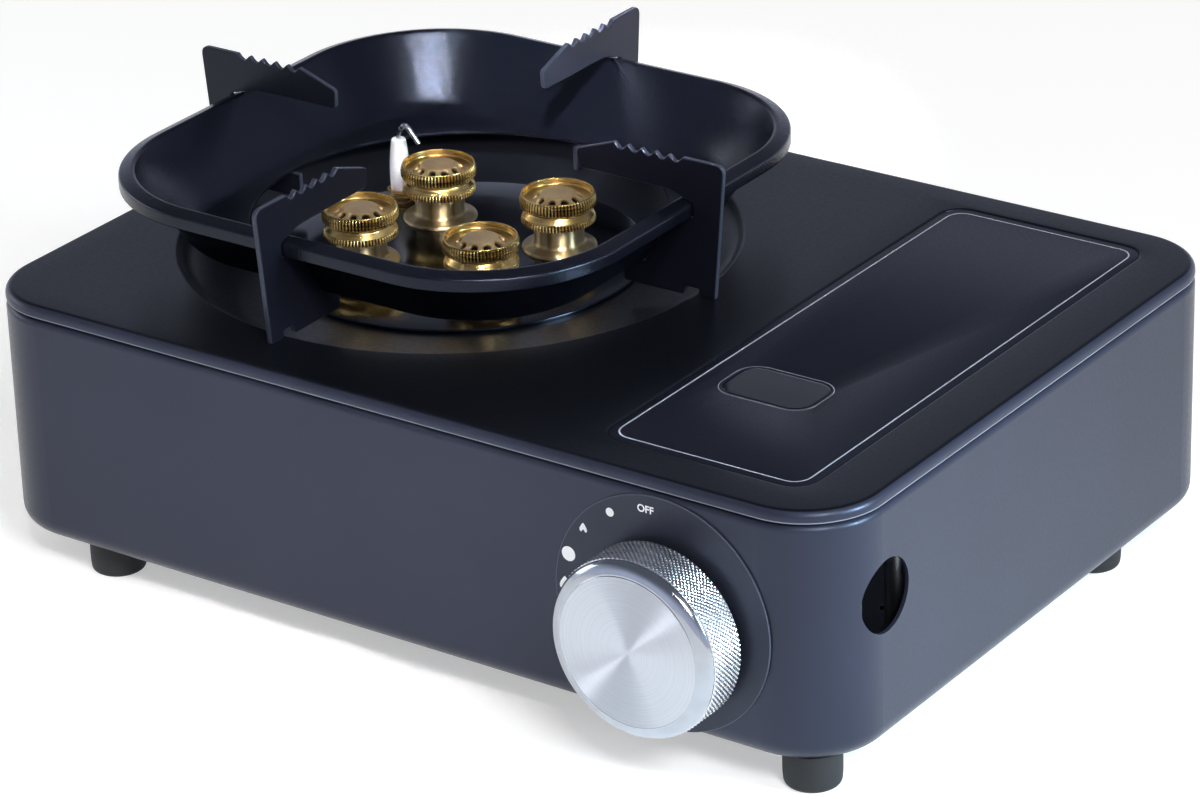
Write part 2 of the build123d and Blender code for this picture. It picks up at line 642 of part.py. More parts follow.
# Dial, knob and spindle
with BuildPart() as dial_plate:
    with BuildSketch(FACE):
        with Locations((-DIAL_LEFT, DIAL_RISE)):
            Circle(DIAL_RADIUS)
        Circle(SHAFT_HOLE, mode=Mode.SUBTRACT)
    extrude(amount=DIAL_THICK)
dial_plate.part.label = "dial_plate"
export_step(dial_plate.part, "parts/dial_plate.step")

GRUB_OUT = KNOB_GAP + SOCKET_DEPTH / 2
GRUB_LENGTH = KNOB_RADIUS - SHAFT_FLAT - GRUB_SINK
with BuildPart() as knob:
    with BuildSketch(FACE.offset(KNOB_GAP)):
        Circle(KNOB_RADIUS)
    extrude(amount=KNURL_LENGTH)
    with BuildSketch(FACE.offset(KNOB_GAP + KNURL_LENGTH)):
        Circle(KNOB_RADIUS)
    with BuildSketch(FACE.offset(KNOB_REACH)):
        Circle(KNOB_FACE_RADIUS)
    loft()
    with BuildSketch(FACE.offset(KNOB_GAP)):
        Circle(SHAFT_RADIUS + FIT)
        with Locations((0, -SHAFT_FLAT - FIT - SHAFT_RADIUS)):
            Rectangle(4 * SHAFT_RADIUS, 2 * SHAFT_RADIUS, mode=Mode.SUBTRACT)
    extrude(amount=SOCKET_DEPTH + FIT, mode=Mode.SUBTRACT)
    with Locations(Location((KNOB_X, FRONT_Y - GRUB_OUT, KNOB_Z - KNOB_RADIUS / 2 - SHEET))):
        Cylinder(SCREW_RADIUS + FIT, KNOB_RADIUS + SHEET, mode=Mode.SUBTRACT)
knob.part.label = "knob"
export_step(knob.part, "parts/knob.step")

with BuildPart() as knob_grub_screw:
    with Locations((KNOB_X, FRONT_Y - GRUB_OUT, KNOB_Z - SHAFT_FLAT - GRUB_LENGTH / 2)):
        Cylinder(SCREW_RADIUS, GRUB_LENGTH)
    with BuildSketch(Plane.XY.offset(KNOB_Z - SHAFT_FLAT - GRUB_LENGTH)):
        with Locations((KNOB_X, FRONT_Y - GRUB_OUT)):
            RegularPolygon(SCREW_RADIUS / 2, 6)
    extrude(amount=SCREW_RADIUS, mode=Mode.SUBTRACT)
knob_grub_screw.part.label = "knob_grub_screw"
export_step(knob_grub_screw.part, "parts/knob_grub_screw.step")

SHAFT_IN = BRACKET_IN + BRACKET_THICK + SHAFT_RADIUS * 3
SHAFT_OUT = KNOB_GAP + SOCKET_DEPTH
with BuildPart() as valve_shaft:
    with BuildSketch(FACE.offset(-SHAFT_IN)):
        Circle(SHAFT_RADIUS)
    extrude(amount=SHAFT_IN + SHAFT_OUT)
    with BuildSketch(FACE.offset(SHAFT_OUT - SOCKET_DEPTH)):
        with Locations((0, -SHAFT_FLAT - SHAFT_RADIUS)):
            Rectangle(4 * SHAFT_RADIUS, 2 * SHAFT_RADIUS)
    extrude(amount=SOCKET_DEPTH, mode=Mode.SUBTRACT)
valve_shaft.part.label = "valve_shaft"
export_step(valve_shaft.part, "parts/valve_shaft.step")

with BuildPart() as striker_cam:
    with BuildSketch(FACE.offset(-CAM_IN - CAM_THICK / 2)):
        Polygon(*cam_points(), align=None)
        Circle(SHAFT_RADIUS + FIT, mode=Mode.SUBTRACT)
    extrude(amount=CAM_THICK)
striker_cam.part.label = "striker_cam"
export_step(striker_cam.part, "parts/striker_cam.step")

# Spark unit and its push rod
TIP_X = KNOB_X - CAM_RADIUS - LOOSE
UNIT_RIGHT = TIP_X - PLUNGER_OUT
UNIT_Y = FRONT_Y + CAM_IN
PLUNGER_IN = PLUNGER_LENGTH - PLUNGER_OUT
with BuildPart() as spark_plunger:
    with Locations(Location((TIP_X - PLUNGER_RADIUS - (PLUNGER_LENGTH - PLUNGER_RADIUS) / 2, UNIT_Y, KNOB_Z),
                            (0, 90, 0))):
        Cylinder(PLUNGER_RADIUS, PLUNGER_LENGTH - PLUNGER_RADIUS)
    with Locations((TIP_X - PLUNGER_RADIUS, UNIT_Y, KNOB_Z)):
        Sphere(PLUNGER_RADIUS)
spark_plunger.part.label = "spark_plunger"
export_step(spark_plunger.part, "parts/spark_plunger.step")

with BuildPart() as spark_unit:
    with Locations((UNIT_RIGHT - UNIT_LENGTH / 2, FRONT_Y + BRACKET_IN - UNIT_SIZE / 2, KNOB_Z)):
        Box(UNIT_LENGTH, UNIT_SIZE, UNIT_SIZE)
    fillet(spark_unit.edges().filter_by(Axis.X), UNIT_EDGE)
    with Locations(Location((UNIT_RIGHT - (PLUNGER_IN + PLUNGER_TRAVEL + LOOSE) / 2, UNIT_Y, KNOB_Z),
                            (0, 90, 0))):
        Cylinder(PLUNGER_RADIUS + FIT, PLUNGER_IN + PLUNGER_TRAVEL + LOOSE, mode=Mode.SUBTRACT)
spark_unit.part.label = "spark_unit"
export_step(spark_unit.part, "parts/spark_unit.step")

LEAD_RADIUS = 1.2
LEAD_STUB = 14.0
LEAD_RISE = 10.0
LEAD_BEND = 6.0
LEAD_Y = FRONT_Y + BRACKET_IN - UNIT_SIZE / 2
LEAD_LOW = FLOOR_TOP + LEAD_RISE
with BuildPart() as spark_lead:
    with BuildLine() as lead_path:
        FilletPolyline(
            (UNIT_RIGHT - UNIT_LENGTH, LEAD_Y, KNOB_Z),
            (UNIT_RIGHT - UNIT_LENGTH - LEAD_STUB, LEAD_Y, KNOB_Z),
            (UNIT_RIGHT - UNIT_LENGTH - LEAD_STUB, LEAD_Y, LEAD_LOW),
            (IGNITER_X, LEAD_Y, LEAD_LOW),
            (IGNITER_X, IGNITER_Y, LEAD_LOW),
            (IGNITER_X, IGNITER_Y, WIRE_LOW),
            radius=LEAD_BEND,
        )
    with BuildSketch(Plane(origin=(UNIT_RIGHT - UNIT_LENGTH, LEAD_Y, KNOB_Z), z_dir=(-1, 0, 0))):
        Circle(LEAD_RADIUS)
    sweep(path=lead_path.wires()[0])
spark_lead.part.label = "spark_lead"
export_step(spark_lead.part, "parts/spark_lead.step")

# Gas valve, its bracket, guide and magnet
VALVE_FRONT_IN = BRACKET_IN + BRACKET_THICK
OUTLET_Y = FRONT_Y + OUTLET_IN
OUTLET_X = KNOB_X - OUTLET_REACH
INLET_UP = CARTRIDGE_Z - KNOB_Z
with BuildPart() as valve_body:
    with BuildSketch(FACE.offset(-VALVE_BACK_IN)):
        Circle(VALVE_RADIUS)
    extrude(amount=VALVE_BACK_IN - VALVE_FRONT_IN)
    with BuildSketch(FACE.offset(-VALVE_FRONT_IN)):
        Circle(NOSE_RADIUS)
    extrude(amount=VALVE_FRONT_IN - CAM_IN - CAM_THICK)
    with BuildSketch(FACE.offset(-VALVE_BACK_IN - GUIDE_THICK - MAGNET_THICK)):
        with Locations((0, INLET_UP)):
            Circle(INLET_RADIUS)
    extrude(amount=GUIDE_THICK + MAGNET_THICK)
    with Locations(Location((KNOB_X - OUTLET_REACH / 2, OUTLET_Y, KNOB_Z), (0, 90, 0))):
        Cylinder(OUTLET_RADIUS, OUTLET_REACH)
    with BuildSketch(FACE.offset(-SHAFT_IN - LOOSE)):
        Circle(SHAFT_RADIUS + FIT)
    extrude(amount=SHAFT_IN, mode=Mode.SUBTRACT)
    with BuildSketch(FACE.offset(-VALVE_BACK_IN - GUIDE_THICK - MAGNET_THICK)):
        with Locations((0, INLET_UP)):
            Circle(PIPE_BORE)
    extrude(amount=VALVE_BACK_IN - OUTLET_IN + GUIDE_THICK + MAGNET_THICK, mode=Mode.SUBTRACT)
    with Locations(Location((OUTLET_X + PIPE_SOCKET / 2, OUTLET_Y, KNOB_Z), (0, 90, 0))):
        Cylinder(PIPE_RADIUS + FIT, PIPE_SOCKET, mode=Mode.SUBTRACT)
valve_body.part.label = "valve_body"
export_step(valve_body.part, "parts/valve_body.step")

BRACKET_TOP = KNOB_Z + VALVE_RADIUS + BRACKET_ABOVE
BRACKET_MIDDLE = KNOB_X + (BRACKET_RIGHT - BRACKET_LEFT) / 2
with BuildPart() as valve_bracket:
    with Locations((BRACKET_MIDDLE, FRONT_Y + BRACKET_IN + BRACKET_THICK / 2, (BRACKET_TOP + FLOOR_TOP) / 2)):
        Box(BRACKET_LEFT + BRACKET_RIGHT, BRACKET_THICK, BRACKET_TOP - FLOOR_TOP)
    with Locations((BRACKET_MIDDLE, FRONT_Y + VALVE_FRONT_IN + BRACKET_LEG / 2, FLOOR_TOP + BRACKET_THICK / 2)):
        Box(BRACKET_LEFT + BRACKET_RIGHT, BRACKET_LEG, BRACKET_THICK)
    with Locations(Location((KNOB_X, FRONT_Y + BRACKET_IN, KNOB_Z), (90, 0, 0))):
        Cylinder(NOSE_RADIUS + FIT, 4 * BRACKET_THICK, mode=Mode.SUBTRACT)
    for name, x in BRACKET_SCREWS:
        with Locations((x, BRACKET_SCREW_Y, FLOOR_TOP)):
            Cylinder(SCREW_RADIUS + FIT, 4 * BRACKET_THICK, mode=Mode.SUBTRACT)
valve_bracket.part.label = "valve_bracket"
export_step(valve_bracket.part, "parts/valve_bracket.step")

SHORT_SCREW = SHEET + BRACKET_THICK + NUT_HEIGHT + SCREW_PAST
for name, x in BRACKET_SCREWS:
    with BuildPart() as bracket_screw:
        with Locations((x, BRACKET_SCREW_Y, FOOT_HEIGHT - SCREW_HEAD_HEIGHT / 2)):
            Cylinder(SCREW_HEAD, SCREW_HEAD_HEIGHT)
        with Locations((x, BRACKET_SCREW_Y, FOOT_HEIGHT + SHORT_SCREW / 2)):
            Cylinder(SCREW_RADIUS, SHORT_SCREW)
        with Locations((x, BRACKET_SCREW_Y, FLOOR_TOP + BRACKET_THICK + NUT_HEIGHT / 2)):
            Cylinder(NUT_RADIUS, NUT_HEIGHT)
    bracket_screw.part.label = "bracket_screw_" + name
    export_step(bracket_screw.part, "parts/bracket_screw_" + name + ".step")

GUIDE_TOP = CARTRIDGE_Z + GUIDE_RISE
GUIDE_LOW = KNOB_Z - VALVE_RADIUS
GUIDE_Y = FRONT_Y + VALVE_BACK_IN
with BuildPart() as guide_plate:
    with Locations((BAY_X, GUIDE_Y + GUIDE_THICK / 2, (GUIDE_TOP + GUIDE_LOW) / 2)):
        Box(GUIDE_WIDTH, GUIDE_THICK, GUIDE_TOP - GUIDE_LOW)
    with BuildSketch(Plane.XY.offset(GUIDE_TOP - GUIDE_THICK)) as leaf:
        with Locations((BAY_X, GUIDE_Y + GUIDE_LEAF / 2)):
            Rectangle(GUIDE_WIDTH, GUIDE_LEAF)
        chamfer(leaf.vertices().group_by(Axis.Y)[-1], GUIDE_CORNER)
    extrude(amount=GUIDE_THICK)
    with Locations(Location((BAY_X, GUIDE_Y, CARTRIDGE_Z), (90, 0, 0))):
        Cylinder(INLET_RADIUS + FIT, 4 * GUIDE_THICK, mode=Mode.SUBTRACT)
guide_plate.part.label = "guide_plate"
export_step(guide_plate.part, "parts/guide_plate.step")

with BuildPart() as magnet_ring:
    with BuildSketch(FACE.offset(-VALVE_BACK_IN - GUIDE_THICK - MAGNET_THICK)):
        with Locations((0, INLET_UP)):
            Circle(MAGNET_RADIUS)
            Circle(INLET_RADIUS + FIT, mode=Mode.SUBTRACT)
    extrude(amount=MAGNET_THICK)
magnet_ring.part.label = "magnet_ring"
export_step(magnet_ring.part, "parts/magnet_ring.step")

# Gas pipe, jet, mixing tube and manifold
JET_Y = OUTLET_Y + PIPE_BEND + PIPE_END
PIPE_START = OUTLET_X + PIPE_SOCKET - 2 * SHEET
with BuildPart() as gas_pipe:
    with BuildLine() as pipe_path:
        FilletPolyline(
            (PIPE_START, OUTLET_Y, KNOB_Z),
            (OUTLET_X - PIPE_STUB, OUTLET_Y, KNOB_Z),
            (OUTLET_X - PIPE_STUB, OUTLET_Y, PIPE_Z),
            (DISH_X, OUTLET_Y, PIPE_Z),
            (DISH_X, JET_Y, PIPE_Z),
            radius=PIPE_BEND,
        )
    with BuildSketch(Plane(origin=(PIPE_START, OUTLET_Y, KNOB_Z), z_dir=(-1, 0, 0))):
        Circle(PIPE_RADIUS)
        Circle(PIPE_BORE, mode=Mode.SUBTRACT)
    sweep(path=pipe_path.wires()[0])
gas_pipe.part.label = "gas_pipe"
export_step(gas_pipe.part, "parts/gas_pipe.step")

# Plane at the jet: local z runs back along the mixing tube
JET = Plane(origin=(DISH_X, JET_Y, PIPE_Z), x_dir=(1, 0, 0), z_dir=(0, 1, 0))
JET_HEAD_LENGTH = 5.0
JET_LENGTH = 9.0
with BuildPart() as jet:
    with BuildSketch(JET.offset(-JET_HEAD_LENGTH)):
        RegularPolygon(JET_HEAD, 6)
    extrude(amount=JET_HEAD_LENGTH)
    with BuildSketch(JET):
        Circle(JET_RADIUS)
    extrude(amount=JET_LENGTH - JET_HEAD_LENGTH)
    with BuildSketch(JET.offset(-JET_HEAD_LENGTH)):
        Circle(PIPE_RADIUS + FIT)
    extrude(amount=JET_HEAD_LENGTH, mode=Mode.SUBTRACT)
    with BuildSketch(JET.offset(-JET_HEAD_LENGTH)):
        Circle(JET_BORE)
    extrude(amount=2 * JET_LENGTH, mode=Mode.SUBTRACT)
jet.part.label = "jet"
export_step(jet.part, "parts/jet.step")

TUBE_LENGTH = MID_Y - MANIFOLD_DEPTH / 2 + MANIFOLD_WALL - JET_Y
with BuildPart() as mixing_tube:
    with BuildSketch(JET):
        Circle(TUBE_RADIUS)
    extrude(amount=TUBE_LENGTH)
    with BuildSketch(JET.offset(TUBE_CAP)):
        Circle(TUBE_RADIUS - TUBE_WALL)
    extrude(amount=TUBE_LENGTH, mode=Mode.SUBTRACT)
    with BuildSketch(JET):
        Circle(JET_RADIUS + FIT)
    extrude(amount=TUBE_LENGTH, mode=Mode.SUBTRACT)
    with Locations((DISH_X, JET_Y + TUBE_CAP + AIR_SLOT_IN, PIPE_Z)):
        Box(4 * TUBE_RADIUS, AIR_SLOT, TUBE_RADIUS, mode=Mode.SUBTRACT)
mixing_tube.part.label = "mixing_tube"
export_step(mixing_tube.part, "parts/mixing_tube.step")

MANIFOLD_LOW = DISH_FLOOR_Z - MANIFOLD_HEIGHT
with BuildPart() as manifold:
    with BuildSketch(Plane.XY.offset(MANIFOLD_LOW)):
        with Locations((DISH_X, MID_Y)):
            RectangleRounded(MANIFOLD_WIDTH, MANIFOLD_DEPTH, MANIFOLD_CORNER)
    extrude(amount=MANIFOLD_HEIGHT)
    with BuildSketch(Plane.XY.offset(MANIFOLD_LOW + MANIFOLD_WALL)):
        with Locations((DISH_X, MID_Y)):
            RectangleRounded(MANIFOLD_WIDTH - 2 * MANIFOLD_WALL, MANIFOLD_DEPTH - 2 * MANIFOLD_WALL,
                             MANIFOLD_CORNER - MANIFOLD_WALL)
    extrude(amount=MANIFOLD_HEIGHT - 2 * MANIFOLD_WALL, mode=Mode.SUBTRACT)
    for name, side_x, side_y in BURNERS:
        with Locations((DISH_X + side_x * BURNER_DX, MID_Y + side_y * BURNER_DY, DISH_FLOOR_Z)):
            Cylinder(TAIL_RADIUS + FIT, 3 * MANIFOLD_WALL, mode=Mode.SUBTRACT)
    with Locations(Location((DISH_X, MID_Y - MANIFOLD_DEPTH / 2, PIPE_Z), (90, 0, 0))):
        Cylinder(TUBE_RADIUS + FIT, 3 * MANIFOLD_WALL, mode=Mode.SUBTRACT)
manifold.part.label = "manifold"
export_step(manifold.part, "parts/manifold.step")

# Partition and cartridge cradle
PARTITION_X = BAY_X - PORT_RADIUS - PARTITION_GAP
PARTITION_LENGTH = BODY_DEPTH - SHEET - FLOOR_BEND - PARTITION_START_IN
PARTITION_HEIGHT = TRAY_TOP - 2 * SHEET - FLOOR_TOP
PARTITION_Y = FRONT_Y + PARTITION_START_IN + PARTITION_LENGTH / 2
with BuildPart() as partition:
    with Locations((PARTITION_X - SHEET / 2, PARTITION_Y, FLOOR_TOP + PARTITION_HEIGHT / 2)):
        Box(SHEET, PARTITION_LENGTH, PARTITION_HEIGHT)
    with Locations((PARTITION_X - PARTITION_LEG / 2, PARTITION_Y, FLOOR_TOP + SHEET / 2)):
        Box(PARTITION_LEG, PARTITION_LENGTH, SHEET)
partition.part.label = "partition"
export_step(partition.part, "parts/partition.step")

CRADLE_START_IN = 78.0
CRADLE_LENGTH = BODY_DEPTH - CRADLE_START_IN - 2 * FLOOR_BEND
CRADLE_LOW_ANGLE = 24.0
CRADLE_HIGH_ANGLE = 55.0
CRADLE = Plane(origin=(BAY_X, FRONT_Y + CRADLE_START_IN, 0), x_dir=(1, 0, 0), z_dir=(0, -1, 0))
CRADLE_RADIUS = PORT_RADIUS + SHEET
CRADLE_FOOT = 10.0
for name, side in (("left", -1), ("right", 1)):
    low = radians(CRADLE_LOW_ANGLE)
    high = radians(CRADLE_HIGH_ANGLE)
    middle = (low + high) / 2
    leg_x = side * CRADLE_RADIUS * sin(middle)
    leg_height = CARTRIDGE_Z - (CRADLE_RADIUS - SHEET / 2) * cos(middle) - FLOOR_TOP
    with BuildPart() as cradle:
        with BuildSketch(CRADLE) as cradle_section:
            with BuildLine():
                ThreePointArc(
                    (side * PORT_RADIUS * sin(low), CARTRIDGE_Z - PORT_RADIUS * cos(low)),
                    (side * PORT_RADIUS * sin(middle), CARTRIDGE_Z - PORT_RADIUS * cos(middle)),
                    (side * PORT_RADIUS * sin(high), CARTRIDGE_Z - PORT_RADIUS * cos(high)),
                )
                Line((side * PORT_RADIUS * sin(high), CARTRIDGE_Z - PORT_RADIUS * cos(high)),
                     (side * CRADLE_RADIUS * sin(high), CARTRIDGE_Z - CRADLE_RADIUS * cos(high)))
                ThreePointArc(
                    (side * CRADLE_RADIUS * sin(high), CARTRIDGE_Z - CRADLE_RADIUS * cos(high)),
                    (side * CRADLE_RADIUS * sin(middle), CARTRIDGE_Z - CRADLE_RADIUS * cos(middle)),
                    (side * CRADLE_RADIUS * sin(low), CARTRIDGE_Z - CRADLE_RADIUS * cos(low)),
                )
                Line((side * CRADLE_RADIUS * sin(low), CARTRIDGE_Z - CRADLE_RADIUS * cos(low)),
                     (side * PORT_RADIUS * sin(low), CARTRIDGE_Z - PORT_RADIUS * cos(low)))
            make_face()
            with Locations((leg_x, FLOOR_TOP + leg_height / 2)):
                Rectangle(SHEET, leg_height)
            with Locations((leg_x, FLOOR_TOP + SHEET / 2)):
                Rectangle(CRADLE_FOOT, SHEET)
        extrude(amount=-CRADLE_LENGTH)
    cradle.part.label = "cradle_" + name
    export_step(cradle.part, "parts/cradle_" + name + ".step")

# Feet, posts and their screws
HEAD_SINK = 5.0
for name, x, y in FEET:
    with BuildPart() as foot:
        with Locations((x, y, FOOT_HEIGHT / 2)):
            Cylinder(FOOT_RADIUS, FOOT_HEIGHT)
        fillet(foot.edges().group_by(Axis.Z)[0], FOOT_EDGE)
        with Locations((x, y, HEAD_SINK / 2)):
            Cylinder(SCREW_HEAD + LOOSE, HEAD_SINK, mode=Mode.SUBTRACT)
        with Locations((x, y, FOOT_HEIGHT / 2)):
            Cylinder(SCREW_RADIUS + FIT, 2 * FOOT_HEIGHT, mode=Mode.SUBTRACT)
    foot.part.label = "foot_" + name
    export_step(foot.part, "parts/foot_" + name + ".step")
    with BuildPart() as foot_screw:
        with Locations((x, y, HEAD_SINK - SCREW_HEAD_HEIGHT / 2)):
            Cylinder(SCREW_HEAD, SCREW_HEAD_HEIGHT)
        with Locations((x, y, (HEAD_SINK + FLOOR_TOP + NUT_HEIGHT + SCREW_PAST) / 2)):
            Cylinder(SCREW_RADIUS, FLOOR_TOP + NUT_HEIGHT + SCREW_PAST - HEAD_SINK)
        with Locations((x, y, FLOOR_TOP + NUT_HEIGHT / 2)):
            Cylinder(NUT_RADIUS, NUT_HEIGHT)
    foot_screw.part.label = "foot_screw_" + name
    export_step(foot_screw.part, "parts/foot_screw_" + name + ".step")

for name, x, y in POSTS:
    with BuildPart() as deck_post:
        with Locations((x, y, (FLOOR_TOP + TOP_UNDER) / 2)):
            Cylinder(DECK_POST_RADIUS, TOP_UNDER - FLOOR_TOP)
        with Locations((x, y, FLOOR_TOP)):
            Cylinder(SCREW_RADIUS + FIT, 2 * SCREW_GRIP, mode=Mode.SUBTRACT)
    deck_post.part.label = "deck_post_" + name
    export_step(deck_post.part, "parts/deck_post_" + name + ".step")
    with BuildPart() as deck_screw:
        with Locations((x, y, FOOT_HEIGHT - SCREW_HEAD_HEIGHT / 2)):
            Cylinder(SCREW_HEAD, SCREW_HEAD_HEIGHT)
        with Locations((x, y, FOOT_HEIGHT + SCREW_GRIP / 2)):
            Cylinder(SCREW_RADIUS, SCREW_GRIP)
    deck_screw.part.label = "deck_screw_" + name
    export_step(deck_screw.part, "parts/deck_screw_" + name + ".step")
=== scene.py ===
import json

import bmesh
import bpy
import numpy as np
from mathutils import Matrix


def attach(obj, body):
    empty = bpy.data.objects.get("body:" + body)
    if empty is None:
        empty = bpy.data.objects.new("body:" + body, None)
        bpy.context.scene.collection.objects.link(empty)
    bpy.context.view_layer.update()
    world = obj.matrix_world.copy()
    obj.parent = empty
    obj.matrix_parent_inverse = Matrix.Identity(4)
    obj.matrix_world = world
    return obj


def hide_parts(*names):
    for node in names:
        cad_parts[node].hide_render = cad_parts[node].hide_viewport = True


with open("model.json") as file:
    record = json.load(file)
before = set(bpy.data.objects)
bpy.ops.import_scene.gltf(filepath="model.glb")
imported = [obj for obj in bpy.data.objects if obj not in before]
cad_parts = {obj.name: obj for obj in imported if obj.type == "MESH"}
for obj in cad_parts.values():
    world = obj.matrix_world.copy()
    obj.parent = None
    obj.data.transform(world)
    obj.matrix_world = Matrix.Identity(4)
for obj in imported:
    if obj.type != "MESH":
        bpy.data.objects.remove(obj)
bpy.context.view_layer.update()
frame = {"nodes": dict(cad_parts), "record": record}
nodes = frame["nodes"]

# Sizes in millimetres, from the part's source, apart from the knob's radius, which follows the photo.
# MM turns them into metres.
MM = 0.001
BODY_WIDTH, BODY_DEPTH, CORNER = 275.0, 197.0, 22.0
FRONT_Y, BACK_Y, MID_Y = -89.8, 107.2, 8.7
FOOT_HEIGHT, FOOT_RADIUS = 10.5, 7.7
TRAY_TOP, TOP_Z = 76.6, 80.5
KNOB_X, KNOB_Z, KNOB_RADIUS = 87.9, 40.4, 24.4
DISH_X, DISH_RADIUS, DISH_FLOOR_Z, PLATE_RADIUS, PLATE_Z = -46.0, 78.0, 74.0, 51.5, 75.0
BURNER_DX, BURNER_DY = 20.4, 18.0
INLAY_X, INLAY_Y, INLAY_WIDTH, INLAY_DEPTH, INLAY_CORNER, INLAY_TOP = 89.7, 9.7, 61.5, 172.0, 7.0, 80.3
WINDOW_X, WINDOW_Y, WINDOW_WIDTH, WINDOW_DEPTH, WINDOW_CORNER = 82.2, -29.8, 27.0, 17.5, 5.5
PORT_X, PORT_Z, PORT_RADIUS = 87.9, 45.3, 33.3


# Mesh tools

def skin(rows, columns, around):
    """Corner numbers of the quads between neighbouring rows and columns of a grid of points. Where the grid
    runs around, its last column is joined to its first."""
    number = np.arange(rows * columns).reshape(rows, columns)
    if around:
        number = np.hstack([number, number[:, :1]])
    corners = [number[:-1, :-1], number[:-1, 1:], number[1:, 1:], number[1:, :-1]]
    return np.stack(corners, -1).reshape(-1, 4)


def grid_uv(rows, columns, around):
    """Each quad corner's place on its grid: u across the columns and v up the rows, both from 0 to 1."""
    across = columns if around else columns - 1
    v, u = np.meshgrid(np.arange(rows - 1), np.arange(across), indexing="ij")
    corners = np.stack([u, v, u + 1, v, u + 1, v + 1, u, v + 1], -1).reshape(-1, 2)
    return corners / np.array([across, rows - 1])


def piece(name, grids, finish, body, replaced=(), crease=40.0, marks=None):
    """One mesh from grids of points in millimetres, each given with whether it runs around. Seams and poles
    are welded, edges sharper than the crease angle stay sharp, and the piece rides on a body. Marks is a
    value for each point, kept as the attribute 'marks' for the finish to read: it places painted highlights
    and painted shade."""
    points, faces, places, start = [], [], [], 0
    for grid, around in grids:
        rows, columns = grid.shape[:2]
        faces.append(skin(rows, columns, around) + start)
        places.append(grid_uv(rows, columns, around))
        points.append(grid.reshape(-1, 3))
        start += rows * columns
    points = np.concatenate(points) * MM
    faces = np.concatenate(faces)
    mesh = bpy.data.meshes.new(name)
    mesh.vertices.add(len(points))
    mesh.vertices.foreach_set("co", points.ravel())
    mesh.loops.add(faces.size)
    mesh.loops.foreach_set("vertex_index", faces.ravel())
    mesh.polygons.add(len(faces))
    mesh.polygons.foreach_set("loop_start", np.arange(0, faces.size, 4))
    mesh.update(calc_edges=True)
    mesh.uv_layers.new(name="grid").data.foreach_set("uv", np.concatenate(places).ravel())
    if marks is not None:
        layer = mesh.attributes.new("marks", "FLOAT", "POINT")
        layer.data.foreach_set("value", np.concatenate([m.ravel() for m in marks]).astype(np.float32))
    return finish_piece(name, mesh, finish, body, replaced, crease)


def finish_piece(name, mesh, finish, body, replaced, crease):
    """Welds a mesh, shades it smooth up to the crease angle and puts it on its body."""
    shape = bmesh.new()
    shape.from_mesh(mesh)
    bmesh.ops.remove_doubles(shape, verts=shape.verts, dist=1e-7)
    shape.to_mesh(mesh)
    shape.free()
    mesh.polygons.foreach_set("use_smooth", np.ones(len(mesh.polygons), bool))
    mesh.set_sharp_from_angle(angle=np.radians(crease))
    mesh.materials.append(finish)
    thing = bpy.data.objects.new(name, mesh)
    bpy.context.scene.collection.objects.link(thing)
    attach(thing, body)
    if replaced:
        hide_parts(*replaced)
    return thing


def bent(corners, reach, steps=6):
    """A polyline with its inner corners bent round: each is replaced by a parabola that leaves one leg a
    reach before the corner and meets the next a reach after it, or at 0.49 of a short leg."""
    corners = np.asarray(corners, float)
    before, middle, after = corners[:-2], corners[1:-1], corners[2:]
    reach = np.broadcast_to(np.asarray(reach, float), len(middle))[:, None]
    back, ahead = before - middle, after - middle
    back_length = np.linalg.norm(back, axis=1, keepdims=True)
    ahead_length = np.linalg.norm(ahead, axis=1, keepdims=True)
    start = middle + back * np.minimum(reach / back_length, 0.49)
    end = middle + ahead * np.minimum(reach / ahead_length, 0.49)
    t = np.linspace(0, 1, steps + 1)[None, :, None]
    curve = (1 - t) ** 2 * start[:, None] + 2 * t * (1 - t) * middle[:, None] + t ** 2 * end[:, None]
    return np.concatenate([corners[:1], curve.reshape(-1, corners.shape[1]), corners[-1:]])


def turned(profile, columns):
    """A profile of radius and height turned about the Z axis: x = r cos a, y = r sin a, z = h."""
    angle = np.linspace(0, 2 * np.pi, columns, endpoint=False)[None, :]
    radius, height = profile[:, :1], profile[:, 1:2]
    return np.stack([radius * np.cos(angle), radius * np.sin(angle), height + 0 * angle], -1)


def rounded(half_x, half_y, corner, steps=12, flat=20):
    """Rounded rectangles about the origin, one for each row: quarter circles joined by straight sides,
    counterclockwise from the right side. Corner is one radius, or four from back right to front right."""
    half_x, half_y = np.atleast_1d(half_x)[:, None], np.atleast_1d(half_y)[:, None]
    corner = np.broadcast_to(np.asarray(corner, float).reshape(-1, 1) if np.ndim(corner) < 2
                             else np.asarray(corner, float), (len(half_x), 4))
    turn = np.radians(np.linspace(0, 90, steps + 1))
    arcs = []
    for quarter, (sx, sy) in enumerate(((1, 1), (-1, 1), (-1, -1), (1, -1))):
        radius = corner[:, quarter:quarter + 1]
        angle = turn[None, :] + quarter * np.pi / 2
        arcs.append(np.stack([sx * (half_x - radius) + radius * np.cos(angle),
                              sy * (half_y - radius) + radius * np.sin(angle)], -1))
    t = (np.arange(1, flat + 1) / (flat + 1))[None, :, None]
    rings = []
    for quarter in range(4):
        first, last = arcs[quarter][:, -1:], arcs[(quarter + 1) % 4][:, :1]
        rings += [arcs[quarter], first * (1 - t) + last * t]
    return np.concatenate(rings, 1)


def raised(flat_rings, heights):
    """Gives each ring of flat points its height."""
    heights = np.broadcast_to(np.asarray(heights, float).reshape(-1, 1), flat_rings.shape[:2])
    return np.concatenate([flat_rings, heights[..., None]], -1)


def moved(grid, x, y, z=0.0):
    """A grid shifted to its place."""
    return grid + np.array([x, y, z])


def facing_front(grid, x, z):
    """Turns a grid made about the Z axis to face the user: local up becomes towards the user."""
    return np.stack([x + grid[..., 0], FRONT_Y - grid[..., 2], z + grid[..., 1]], -1)


